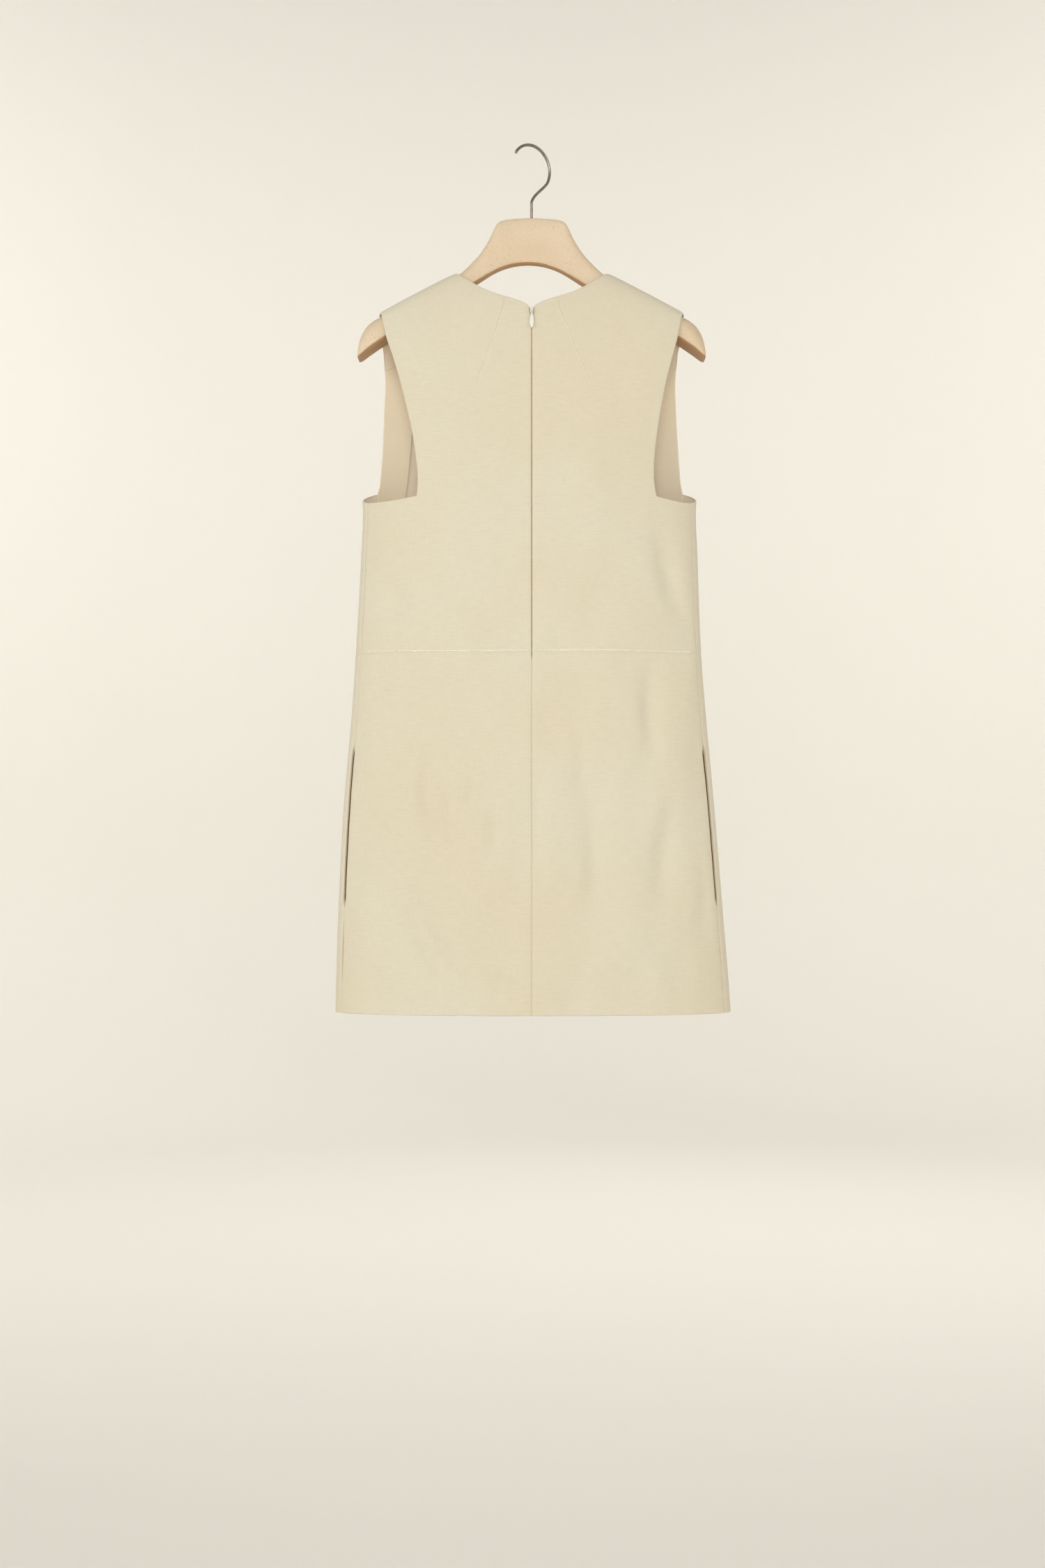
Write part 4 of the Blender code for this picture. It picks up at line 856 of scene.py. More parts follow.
def flat_places(grid):
    """Places on the flat cut, in metres, from lengths along the grid's rows and columns."""
    filled = np.where(np.isnan(grid), 0.0, grid)
    there = ~np.isnan(grid[..., 0])
    across = np.linalg.norm(np.diff(filled, axis=1), axis=2) * (there[:, 1:] & there[:, :-1])
    up = np.linalg.norm(np.diff(filled, axis=0), axis=2) * (there[1:] & there[:-1])
    u = np.concatenate((np.zeros((len(grid), 1)), np.cumsum(across, axis=1)), axis=1)
    first = there.argmax(axis=1)
    for row in range(1, len(grid)):
        if first[row] > 0:
            u[row] += u[row - 1, first[row]] - u[row, first[row]]
    v = np.concatenate((np.zeros((1, grid.shape[1])), np.cumsum(up, axis=0)), axis=0)
    return np.stack((u, v), axis=-1)[there] * MM


def shell_mesh(name, outer, inner, quads, flat, bulge):
    """A closed sheet of cloth: outer side, inner side and a rounded rim."""
    count = len(outer)
    edges = {}
    for quad in quads.tolist():
        for pair in zip(quad, quad[1:] + quad[:1]):
            if edges.pop(pair[::-1], None) is None:
                edges[pair] = True
    rim = sorted({vert for pair in edges for vert in pair})
    centres = outer[quads].mean(axis=1)
    pull = np.zeros_like(outer)
    for k in range(4):
        np.add.at(pull, quads[:, k], outer[quads[:, k]] - centres)
    through = outer - inner
    through_unit = through / np.linalg.norm(through, axis=1)[:, None]
    pull -= through_unit * (pull * through_unit).sum(axis=1)[:, None]
    pull /= np.maximum(np.linalg.norm(pull, axis=1), TINY)[:, None]
    middle = 0.5 * (outer + inner) + pull * bulge[:, None]
    place = {vert: 2 * count + k for k, vert in enumerate(rim)}
    faces = quads.tolist() + (quads[:, ::-1] + count).tolist()
    for a, b in edges:
        faces.append((b, a, place[a], place[b]))
        faces.append((place[b], place[a], a + count, b + count))
    verts = np.concatenate((outer, inner, middle[rim])) * MM
    mesh = bpy.data.meshes.new(name)
    mesh.from_pydata(verts.tolist(), [], faces)
    layer = mesh.uv_layers.new(name="cut")
    places = np.concatenate((flat, flat, flat[rim]))
    corner = np.empty(len(mesh.loops), dtype=np.int32)
    mesh.loops.foreach_get("vertex_index", corner)
    layer.data.foreach_set("uv", places[corner].ravel())
    mesh.shade_smooth()
    mesh.set_sharp_from_angle(angle=math.radians(PANEL_SHARP))
    return mesh


def line_inside(mesh, count, materials):
    """Give a sheet's inner side its own material, the second one."""
    for material in materials:
        mesh.materials.append(material)
    for polygon in mesh.polygons[count:2 * count]:
        polygon.material_index = 1


def add_piece(name, mesh, material=None, body="dress"):
    """An object of the dress, riding its body."""
    made = bpy.data.objects.new(name, mesh)
    bpy.context.scene.collection.objects.link(made)
    if material:
        mesh.materials.append(material)
    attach(made, body)
    return made


# The outer side of each panel, for the stitches to lie on
SURFACES = {}


def cloth_panel(name, face, grid, marks, materials, cut):
    """A panel of the dress: a thin shell on its solid's form, with creases, seams and edges."""
    points, number, quads = grid_faces(grid)
    normals, quads = point_normals(points, quads, (0.0, face, 0.0))
    there = number >= 0
    to_seam = nearest(points, grid[marks["seam"] & there])
    to_edge = nearest(points, grid[marks["edge"] & there])
    flat = flat_places(grid)
    lift = crease_lift(face, points)
    hem = np.zeros(len(points))
    if "hem" in marks:
        up = points[:, 2] - HEM_Z
        hem = band(up, HEM_WIDTH, HEM_FADE)
        to_edge = np.minimum(to_edge, up)
        lift += HEM_RIDGE * bell((up - HEM_WIDTH) / HEM_RIDGE_REACH)
        flat[:, 1] += HEM_CUT_START
    lift *= ease(to_edge / EDGE_REACH) * (1.0 - EDGE_SHARE) + EDGE_SHARE
    lift -= DITCH_DEPTH * bell(to_seam / DITCH_REACH)
    lift += SEAM_RIDGE * bell((to_seam - SEAM_RIDGE_OFF) / SEAM_RIDGE_REACH)
    lift -= ROLL_DEPTH * np.clip(1.0 - to_edge / ROLL_REACH, 0.0, 1.0) ** 2
    if face == BACK:
        to_zip = np.where(points[:, 2] > ZIP_END_Z, np.abs(points[:, 0]), FAR)
        to_dart = line_distance(points, DARTS[LEFT if points[:, 0].mean() > 0.0 else RIGHT])
        lift -= ZIP_ROLL * bell(to_zip / ZIP_ROLL_REACH)
        lift += DART_PUCKER * bell((to_dart - DART_PUCKER_OFF) / DART_PUCKER_REACH)
    outer = points + normals * lift[:, None]
    turned = np.maximum(band(to_edge, TURNED_WIDTH, TURNED_FADE), hem)
    inner = outer - normals * (CLOTH + (TURNED_EDGE - CLOTH) * turned)[:, None]
    mesh = shell_mesh(name, outer, inner, quads, flat, np.where(to_edge < ON_EDGE, PANEL_RIM, 0.0))
    # The inner side gets the paler wrong-side cloth: painted light
    line_inside(mesh, len(quads), materials)
    piece = add_piece(name, mesh)
    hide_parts(cut["node"])
    SURFACES[name] = BVHTree.FromPolygons([Vector(at) for at in outer], quads.tolist())


# ---- layers inside the cloth

def section_frame(side, turn, z):
    """Points on the sections, their outward normals, and the way round towards the back."""
    point = cloth_round(side, turn, z)
    around = cloth_round(side, turn + TURN_STEP, z) - cloth_round(side, turn - TURN_STEP, z)
    up = cloth_round(side, turn, z + RISE_STEP) - cloth_round(side, turn, z - RISE_STEP)
    normal = np.cross(around, up)
    normal /= np.linalg.norm(normal, axis=-1)[..., None]
    outward = (normal[..., :2] * point[..., :2]).sum(axis=-1)
    normal *= np.where(outward < 0.0, -1.0, 1.0)[..., None]
    return point, normal, around / np.linalg.norm(around, axis=-1)[..., None]


def inset_grid(grid, face, depth, follow=1.0):
    """A grid moved in along its normals, following a share of the cloth's creases."""
    points, number, quads = grid_faces(grid)
    normals, _ = point_normals(points, quads, (0.0, face, 0.0))
    moved = grid.copy()
    moved[number >= 0] = points + normals * (follow * crease_lift(face, points) - depth)[:, None]
    return moved


def plain_sheet(name, grid, face, thickness, material, replaced):
    """A sheet of cloth laid on a grid, with its outer side on it."""
    points, _, quads = grid_faces(grid)
    normals, quads = point_normals(points, quads, (0.0, face, 0.0))
    mesh = shell_mesh(name, points, points - normals * thickness, quads, flat_places(grid),
                      np.full(len(points), LAYER_RIM))
    piece = add_piece(name, mesh, material)
    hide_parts(replaced)


def make_facing(side, word, material):
    """The facing inside a front armhole."""
    column_step, low_step, chest_step = FACING_STEPS
    cols = graded(ARMHOLE_COLUMN - FACING_COLUMNS, ARMHOLE_COLUMN, column_step)
    low = low_points(FRONT, side, cols, graded(LOW_ROWS - 1.0, LOW_ROWS, low_step))
    shares = graded(0.0, FACING_TOP_SHARE, chest_step)[1:]
    chest = chest_points(FRONT, side, np.append(0.0, cols), shares)[:, 1:]
    grid = inset_grid(np.concatenate((low, chest)), FRONT, LAYER_INSET, FACING_FOLLOW)
    plain_sheet("armhole_facing_cloth_" + word, grid, FRONT, FACING_CLOTH, material,
                "armhole_facing_" + word)


def make_pocket_bag(side, word, materials):
    """A pocket bag: one sheet folded at its nose, open at the slit in the side seam."""
    levels = graded(BAG_BOTTOM_Z, BAG_TOP_Z, BAG_STEP)
    share = (levels - BAG_BOTTOM_Z) / (BAG_TOP_Z - BAG_BOTTOM_Z)
    open_share = ease(share / BAG_TAPER_SHARE) * ease((1.0 - share) / BAG_TAPER_SHARE)
    hollow = SEAM_TOUCH + (BAG_HOLLOW - SEAM_TOUCH) * open_share
    middle = LAYER_INSET + BAG_CLOTH + 0.5 * hollow
    seam, nose = SIDE_COLUMN[FRONT], SIDE_COLUMN[FRONT] - BAG_COLUMNS
    out = np.linspace(seam, nose, 2 * BAG_COLUMNS + 1)
    steps = [(FRONT, col, 0.0) for col in out]
    steps += [(FRONT, nose, turn) for turn in np.linspace(0.0, math.pi, BAG_NOSE_STEPS)[1:-1]]
    steps += [(FRONT, col, math.pi) for col in out[::-1]]
    steps += [(BACK, SIDE_COLUMN[BACK], BAG_LIP_TURN), (BACK, SIDE_COLUMN[BACK] - 1.0, 0.0)]
    sides = ([], [])
    for face, col, turn in steps:
        at = section_turn(face, side, np.array([col]), levels[:, None])[:, 0]
        point, normal, around = section_frame(side, at, levels)
        lift = np.minimum(crease_lift(FRONT, point), crease_lift(BACK, point))
        point = point + normal * lift[:, None]
        at_nose = face == FRONT and turn not in (0.0, math.pi)
        for layer, radius in zip(sides, (0.5 * hollow + BAG_CLOTH, 0.5 * hollow)):
            inset = (middle - radius * math.cos(turn))[:, None]
            reach = (radius * math.sin(turn))[:, None] * at_nose
            layer.append(point - normal * inset + around * reach)
    outer, inner = (np.array(layer).transpose(1, 0, 2) for layer in sides)
    points, _, quads = grid_faces(outer)
    if side == LEFT:
        quads = quads[:, ::-1]
    name = "pocket_bag_cloth_" + word
    mesh = shell_mesh(name, points, inner.reshape(-1, 3), quads, flat_places(outer),
                      np.full(len(points), BAG_RIM))
    # Outer side with the inside pieces' painted light, inner side with the dark painted shade of
    # the slit
    line_inside(mesh, len(quads), materials)
    piece = add_piece(name, mesh)
    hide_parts("pocket_bag_" + word)


def zip_rows(side, cols, top_share):
    """Grid of the back beside its centre, from the zip's end up, close to the middle."""
    below_step, low_step, chest_step = TAPE_STEPS
    z = graded(TAPE_END_Z, TAPE_WAIST_Z, below_step)[:, None]
    shares = graded(0.0, top_share, chest_step)[1:]
    grid = np.concatenate((
        panel_points(BACK, side, cols, z),
        low_points(BACK, side, cols, graded(0.0, LOW_ROWS, low_step)),
        chest_points(BACK, side, np.append(cols, ARMHOLE_COLUMN), shares)[:, :-1]))
    if len(cols) > 1:
        far = np.abs(grid[:, -1:, 0])
        grid[..., 0] = side * (TAPE_MIDDLE + (far - TAPE_MIDDLE) * cols / cols[-1])
    return grid


def make_zip_tape(side, word, material):
    """One of the zip's two tapes, under the back's edge."""
    grid = inset_grid(zip_rows(side, np.array(TAPE_COLUMNS), TAPE_TOP_SHARE), BACK, TAPE_INSET)
    plain_sheet("zip_tape_" + word, grid, BACK, TAPE_CLOTH, material,
                "zip_tape")


# ---- node trees

def socket(nodes_socket, value):
    """Set a socket to a value, or feed it from another socket."""
    if isinstance(value, bpy.types.NodeSocket):
        nodes_socket.id_data.links.new(value, nodes_socket)
    else:
        nodes_socket.default_value = value


def node(tree, kind, inputs=(), **settings):
    """A node with its settings, and its inputs by name or place."""
    made = tree.nodes.new(kind)
    for key, value in settings.items():
        setattr(made, key, value)
    for key, value in dict(inputs).items():
        socket(made.inputs[key], value)
    return made


def calc(tree, operation, a, b=0.0, clamp=False):
    """The result of one sum."""
    made = node(tree, "ShaderNodeMath", {0: a, 1: b}, operation=operation, use_clamp=clamp)
    return made.outputs[0]


def remap(tree, value, span, target=(0.0, 1.0)):
    """A value moved from one range to another."""
    return node(tree, "ShaderNodeMapRange", {
        "Value": value, "From Min": span[0], "From Max": span[1],
        "To Min": target[0], "To Max": target[1]}).outputs["Result"]


def vector_calc(tree, operation, a, b):
    """The result of one sum of vectors."""
    made = node(tree, "ShaderNodeVectorMath", {0: a, 1: b}, operation=operation)
    return made.outputs["Value" if operation == "DOT_PRODUCT" else "Vector"]


def soft_noise(tree, place, scale, detail, roughness):
    """Noise round 0.5."""
    return node(tree, "ShaderNodeTexNoise", {"Vector": place, "Scale": scale, "Detail": detail,
                                             "Roughness": roughness}).outputs["Fac"]


def blend_colors(tree, share, a, b, blend="MIX"):
    """Two colours mixed."""
    made = node(tree, "ShaderNodeMix", data_type="RGBA", blend_type=blend)
    socket(made.inputs["Factor"], share)
    socket(made.inputs[6], a if isinstance(a, bpy.types.NodeSocket) else (*a, 1.0))
    socket(made.inputs[7], b if isinstance(b, bpy.types.NodeSocket) else (*b, 1.0))
    return made.outputs[2]


def new_group(name, inputs, outputs):
    """An empty shader node group; an input without a value is a vector."""
    group = bpy.data.node_groups.new(name, "ShaderNodeTree")
    for label, value in inputs.items():
        kind = "NodeSocketVector" if value is None else "NodeSocketFloat"
        made = group.interface.new_socket(name=label, in_out="INPUT", socket_type=kind)
        if value is not None:
            made.default_value = value
    for label in outputs:
        group.interface.new_socket(name=label, in_out="OUTPUT", socket_type="NodeSocketFloat")
    given, result = group.nodes.new("NodeGroupInput"), group.nodes.new("NodeGroupOutput")
    return group, given.outputs, result.inputs


def weave_group():
    """Plain weave with uneven crosswise threads, on a cut's own coordinates in metres."""
    group, given, result = new_group(
        "plain_weave", {"Cut": None, "Threads per Metre": WEAVE_THREADS, "Slub": 0.5},
        ("Tone", "Height"))
    parts = node(group, "ShaderNodeSeparateXYZ", {0: given["Cut"]}).outputs
    turns = calc(group, "MULTIPLY", given["Threads per Metre"], math.pi)
    warp, weft = (calc(group, "SINE", calc(group, "MULTIPLY", parts[k], turns)) for k in (0, 1))
    cross = calc(group, "MULTIPLY", warp, weft)
    along = vector_calc(group, "MULTIPLY", given["Cut"], SLUB_STRETCH)
    upright = vector_calc(group, "MULTIPLY", given["Cut"], ENDS_STRETCH)
    slubs = soft_noise(group, along, 1.0, detail=3.0, roughness=0.6)
    ends = soft_noise(group, upright, 1.0, detail=2.0, roughness=0.5)
    uneven = calc(group, "ADD", slubs, calc(group, "MULTIPLY", ends, ENDS_SHARE))
    slubbed = calc(group, "MULTIPLY", calc(group, "MULTIPLY", uneven, given["Slub"]), SLUB_HEIGHT)
    crossed = calc(group, "MULTIPLY", cross, CROSS_HEIGHT)
    socket(result["Tone"], remap(group, uneven, WEAVE_RANGE))
    socket(result["Height"], calc(group, "ADD", crossed, slubbed))
    return group


def cloud_group():
    """Slow soft changes of tone over a surface."""
    group, given, result = new_group(
        "soft_clouds", {"Place": None, "Size": 0.08, "Contrast": 1.0}, ("Tone",))
    scale = calc(group, "DIVIDE", 1.0, given["Size"])
    noise = soft_noise(group, given["Place"], scale, detail=2.5, roughness=0.45)
    swing = calc(group, "MULTIPLY", calc(group, "SUBTRACT", noise, 0.5), given["Contrast"])
    tone = calc(group, "ADD", calc(group, "MULTIPLY", swing, 2.0), 0.5, clamp=True)
    socket(result["Tone"], tone)
    return group


def fleck_group():
    """Small flecks scattered in a surface, and the fine grain between them."""
    group, given, result = new_group(
        "fine_flecks", {"Place": None, "Size": 0.0012, "Amount": 0.3}, ("Flecks", "Grain"))
    scale = calc(group, "DIVIDE", 1.0, given["Size"])
    noise = soft_noise(group, given["Place"], scale, detail=2.0, roughness=0.65)
    spread = calc(group, "MULTIPLY", given["Amount"], FLECK_SPREAD)
    edge = calc(group, "SUBTRACT", FLECK_EDGE, spread)
    full = calc(group, "ADD", edge, FLECK_SOFTNESS)
    socket(result["Flecks"], remap(group, noise, (edge, full)))
    socket(result["Grain"], noise)
    return group


def seam_group():
    """A sewn line between two places, seen along Y: 1 on the line and 0 away from it."""
    group, given, result = new_group(
        "sewn_line", {"Place": None, "From": None, "To": None, "Half Width": DART_LINE}, ("Line",))
    place, start, stop = (vector_calc(group, "MULTIPLY", given[label], (1.0, 0.0, 1.0))
                          for label in ("Place", "From", "To"))
    away = vector_calc(group, "SUBTRACT", place, start)
    along = vector_calc(group, "SUBTRACT", stop, start)
    share = calc(group, "DIVIDE", vector_calc(group, "DOT_PRODUCT", away, along),
                 vector_calc(group, "DOT_PRODUCT", along, along), clamp=True)
    foot = node(group, "ShaderNodeVectorMath", {0: along, "Scale": share}, operation="SCALE")
    off = node(group, "ShaderNodeVectorMath",
               {0: vector_calc(group, "SUBTRACT", away, foot.outputs[0])}, operation="LENGTH")
    near = calc(group, "DIVIDE", off.outputs["Value"], given["Half Width"])
    line = calc(group, "SUBTRACT", 1.0, calc(group, "MULTIPLY", near, near), clamp=True)
    socket(result["Line"], line)
    return group


GROUPS = {"weave": weave_group(), "clouds": cloud_group(), "flecks": fleck_group(),
          "seam": seam_group()}


def effect(tree, name, inputs):
    """A shared effect placed in a material with its own values; returns its outputs."""
    made = tree.nodes.new("ShaderNodeGroup")
    made.node_tree = GROUPS[name]
    for key, value in inputs.items():
        socket(made.inputs[key], value)
    return made.outputs


def new_material(name, roughness, **constants):
    """A material with a Principled shader; returns it, its tree, its shader and its places."""
    material = bpy.data.materials.new(name)
    material.use_nodes = True
    tree = material.node_tree
    shader = tree.nodes["Principled BSDF"].inputs
    shader["Roughness"].default_value = roughness
    for key, value in constants.items():
        shader[key.replace("_", " ")].default_value = value
    return material, tree, shader, node(tree, "ShaderNodeTexCoord").outputs["Object"]


def set_bump(tree, shader, height, strength, distance):
    """Feed the shader's normal from a height."""
    bump = node(tree, "ShaderNodeBump", {"Height": height, "Strength": strength,
                                         "Distance": distance})
    socket(shader["Normal"], bump.outputs["Normal"])


def cloth_material(name, tones, slub=0.5, cloud=CLOUD_WARM, threads=WEAVE_THREADS, seams=(),
                   shade=0.0):
    """Matte cloth: weave on its cut, slow changes of tone, and seams as sewn lines of painted
    shade.
    """
    material, tree, shader, place = new_material(
        name, 0.88, Sheen_Weight=0.12, Sheen_Roughness=0.6, Specular_IOR_Level=0.25)
    cut = node(tree, "ShaderNodeUVMap", uv_map="cut").outputs["UV"]
    weave = effect(tree, "weave", {"Cut": cut, "Threads per Metre": threads, "Slub": slub})
    clouds = effect(tree, "clouds", {"Place": place, "Size": 0.16, "Contrast": 1.6})
    tone = blend_colors(tree, calc(tree, "MULTIPLY", clouds["Tone"], CLOUD_SHARE),
                        blend_colors(tree, weave["Tone"], *tones), cloud, "MULTIPLY")
    height = weave["Height"]
    sewn = None
    for (ax, az), (bx, bz) in (ends for line in seams for ends in zip(line[:-1], line[1:])):
        drawn = effect(tree, "seam", {
            "Place": place, "From": (ax * MM, 0.0, az * MM), "To": (bx * MM, 0.0, bz * MM),
            "Half Width": DART_LINE})["Line"]
        sewn = drawn if sewn is None else calc(tree, "MAXIMUM", sewn, drawn)
    if sewn is not None:
        # Painted shade darkens the cloth along the sewn lines, which are also sunk by the bump
        tone = blend_colors(tree, calc(tree, "MULTIPLY", sewn, shade), tone, SEAM_SHADE)
        height = calc(tree, "SUBTRACT", height, calc(tree, "MULTIPLY", sewn, SEAM_SINK))
    socket(shader["Base Color"], tone)
    socket(shader["Roughness"], remap(tree, weave["Tone"], (0.0, 1.0), CLOTH_SHINE))
    set_bump(tree, shader, height, strength=0.35, distance=0.00022)
    return material


def hanger_material(name, tones):
    """Matte beige moulding with fine flecks."""
    material, tree, shader, place = new_material(name, 0.6, Specular_IOR_Level=0.35)
    flecks = effect(tree, "flecks", {"Place": place, "Size": 0.0020, "Amount": 0.42})
    clouds = effect(tree, "clouds", {"Place": place, "Size": 0.05, "Contrast": 1.0})
    share = calc(tree, "MULTIPLY", flecks["Flecks"], FLECK_SHARE)
    tone = blend_colors(tree, clouds["Tone"], *tones)
    socket(shader["Base Color"], blend_colors(tree, share, tone, HANGER_FLECK))
    socket(shader["Roughness"], remap(tree, flecks["Grain"], GRAIN_RANGE, HANGER_SHINE))
    set_bump(tree, shader, flecks["Grain"], strength=0.2, distance=0.0003)
    return material


def steel_material():
    """Dull bright wire, a little darker in places."""
    material, tree, shader, place = new_material("hook_steel", 0.28, Metallic=1.0)
    clouds = effect(tree, "clouds", {"Place": place, "Size": 0.008, "Contrast": 1.4})
    flecks = effect(tree, "flecks", {"Place": place, "Size": 0.0009, "Amount": 0.5})
    socket(shader["Base Color"], blend_colors(tree, clouds["Tone"], *STEEL_TONES))
    worn = calc(tree, "ADD", calc(tree, "MULTIPLY", flecks["Grain"], 0.25), 0.16)
    socket(shader["Roughness"], worn)
    set_bump(tree, shader, flecks["Grain"], strength=0.08, distance=0.0001)
    return material


def lacquer_material(name, tones, roughness, coat):
    """Lacquer or plastic with a slight unevenness and a thin coat."""
    material, tree, shader, place = new_material(
        name, roughness, Coat_Weight=coat, Coat_Roughness=0.25)
    clouds = effect(tree, "clouds", {"Place": place, "Size": 0.004, "Contrast": 1.2})
    flecks = effect(tree, "flecks", {"Place": place, "Size": 0.0007, "Amount": 0.3})
    socket(shader["Base Color"], blend_colors(tree, clouds["Tone"], *tones))
    shine = [roughness + more for more in LACQUER_SHINE]
    socket(shader["Roughness"], remap(tree, flecks["Grain"], GRAIN_RANGE, shine))
    set_bump(tree, shader, flecks["Grain"], strength=0.1, distance=0.0001)
    return material


def thread_material():
    """Off-white sewing thread with its twist."""
    material, tree, shader, place = new_material("sewing_thread", 0.6, Sheen_Weight=0.2,
                                                 Sheen_Roughness=0.4)
    flecks = effect(tree, "flecks", {"Place": place, "Size": 0.0005, "Amount": 0.6})
    socket(shader["Base Color"], blend_colors(tree, flecks["Grain"], *THREAD_TONES))
    set_bump(tree, shader, flecks["Grain"], strength=0.3, distance=0.0001)
    return material


def studio_material():
    """Pale plaster of the plain studio."""
    material, tree, shader, place = new_material("pale_studio", 0.95, Specular_IOR_Level=0.1)
    clouds = effect(tree, "clouds", {"Place": place, "Size": 1.6, "Contrast": 0.5})
    socket(shader["Base Color"], blend_colors(tree, clouds["Tone"], *STUDIO_TONES))
    return material


# ---- stitches and zip elements, made by Geometry Nodes along paths

def path_tree(name, shape, material):
    """A tree that sets a small shape at even places along paths.  shape makes its geometry."""
    tree = bpy.data.node_groups.new(name, "GeometryNodeTree")
    tree.interface.new_socket(name="Paths", in_out="INPUT", socket_type="NodeSocketGeometry")
    for label in PATH_SIZES:
        tree.interface.new_socket(name=label, in_out="INPUT", socket_type="NodeSocketFloat")
    tree.interface.new_socket(name="Pieces", in_out="OUTPUT", socket_type="NodeSocketGeometry")
    given, result = tree.nodes.new("NodeGroupInput").outputs, tree.nodes.new("NodeGroupOutput")
    spaced = node(tree, "GeometryNodeResampleCurve",
                  {"Curve": given["Paths"], "Length": given["Pitch"]}, mode="LENGTH")
    tangent = node(tree, "GeometryNodeInputTangent")
    normal = node(tree, "GeometryNodeInputNormal")
    face = node(tree, "FunctionNodeAlignRotationToVector", {"Vector": tangent.outputs[0]}, axis="X")
    turned = node(tree, "FunctionNodeAlignRotationToVector",
                  {"Rotation": face.outputs[0], "Vector": normal.outputs[0]},
                  axis="Z", pivot_axis="X")
    lengths = node(tree, "FunctionNodeRandomValue", {
        2: calc(tree, "SUBTRACT", 1.0, given["Jitter"]), 3: 1.0, "Seed": STITCH_SEED},
        data_type="FLOAT")
    size = node(tree, "ShaderNodeCombineXYZ", {
        0: calc(tree, "MULTIPLY", given["Length"], lengths.outputs[1]),
        1: given["Thickness"], 2: given["Thickness"]})
    placed = node(tree, "GeometryNodeInstanceOnPoints", {
        "Points": spaced.outputs["Curve"], "Instance": shape(tree), "Rotation": turned.outputs[0],
        "Scale": size.outputs[0]})
    real = node(tree, "GeometryNodeRealizeInstances", {"Geometry": placed.outputs[0]})
    painted = node(tree, "GeometryNodeSetMaterial",
                   {"Geometry": real.outputs[0], "Material": material})
    socket(result.inputs["Pieces"], painted.outputs[0])
    return tree


def stitch_shape(tree):
    """One stitch: a bead one unit long with pointed ends, lying along X."""
    bead = node(tree, "GeometryNodeMeshUVSphere", {"Segments": 6, "Rings": 4, "Radius": 0.5})
    return bead.outputs["Mesh"]


def element_shape(tree):
    """One coil element of the zip: a short rounded bar across the chain."""
    bar = node(tree, "GeometryNodeMeshCylinder", {"Vertices": 6, "Side Segments": 1, "Radius": 0.5,
                                                  "Depth": 1.0})
    return bar.outputs["Mesh"]


def run_along(name, paths, tree, sizes, body="dress"):
    """Lay a tree's pieces along paths, and keep the result as a plain mesh."""
    curve = bpy.data.curves.new(name + "_paths", "CURVE")
    curve.dimensions = "3D"
    for path in paths:
        spline = curve.splines.new("POLY")
        spline.points.add(len(path) - 1)
        places = np.column_stack((np.array(path) * MM, np.ones(len(path))))
        spline.points.foreach_set("co", places.ravel())
    guide = bpy.data.objects.new(name + "_paths", curve)
    bpy.context.scene.collection.objects.link(guide)
    change = guide.modifiers.new("pieces", "NODES")
    change.node_group = tree
    values = dict(zip(PATH_SIZES, sizes))
    for item in tree.interface.items_tree:
        if item.in_out == "INPUT" and item.name in values:
            change[item.identifier] = values[item.name]
    graph = bpy.context.evaluated_depsgraph_get()
    graph.update()
    mesh = bpy.data.meshes.new_from_object(guide.evaluated_get(graph), depsgraph=graph)
    guide.modifiers.remove(change)
    bpy.data.objects.remove(guide, do_unlink=True)
    mesh.name = name
    mesh.shade_smooth()
    add_piece(name, mesh, None, body)


def on_cloth(panels, face, spots, proud):
    """Points just proud of the cloth at x and z, as seen along Y."""
    path = []
    for x, z in spots:
        best = None
        for panel in panels:
            start, way = Vector((x, face * RAY_START, z)), Vector((0.0, -face, 0.0))
            hit = SURFACES[panel].ray_cast(start, way)
            if hit[0] is not None and (best is None or face * hit[0].y > face * best[0].y):
                best = hit
        if best is not None:
            normal = best[1] if best[1].y * face > 0.0 else -best[1]
            path.append(best[0] + normal * proud)
    return path


def straight(points, step=STITCH_STEP):
    """Places at even steps along a broken line of x and z."""
    points = np.array(points, float)
    spots = []
    for a, b in zip(points[:-1], points[1:]):
        count = max(1, round(np.linalg.norm(b - a) / step))
        spots += [a + (b - a) * k / count for k in range(count)]
    return spots + [points[-1]]


def make_zip_chain(material):
    """The zip's closed coil, along the middle between the two tapes."""
    sides = [zip_rows(side, np.array([0.0]), CHAIN_TOP_SHARE) for side in (LEFT, RIGHT)]
    chain = 0.5 * (sides[0] + sides[1])[:, 0]
    chain[:, 1] += crease_lift(BACK, chain) - TAPE_INSET + CHAIN_RISE
    tree = path_tree("zip_elements", element_shape, material)
    run_along("zip_chain", [chain], tree, ZIP_ELEMENTS)


def sew_stitches(material):
    """The threads of the waist seam and the darts."""
    tree = path_tree("sewn_stitches", stitch_shape, material)
    for kind, (name, sizes) in STITCHES.items():
        paths = [on_cloth(panels, face, straight(line), STITCH_PROUD)
                 for own, panels, face, line in STITCH_LINES if own == kind]
        run_along(name, [path for path in paths if len(path) > 1], tree, sizes)


# ---- round shapes

def ring_turns(sides):
    """Even angles round a ring."""
    return np.linspace(0.0, 2.0 * math.pi, sides, endpoint=False)


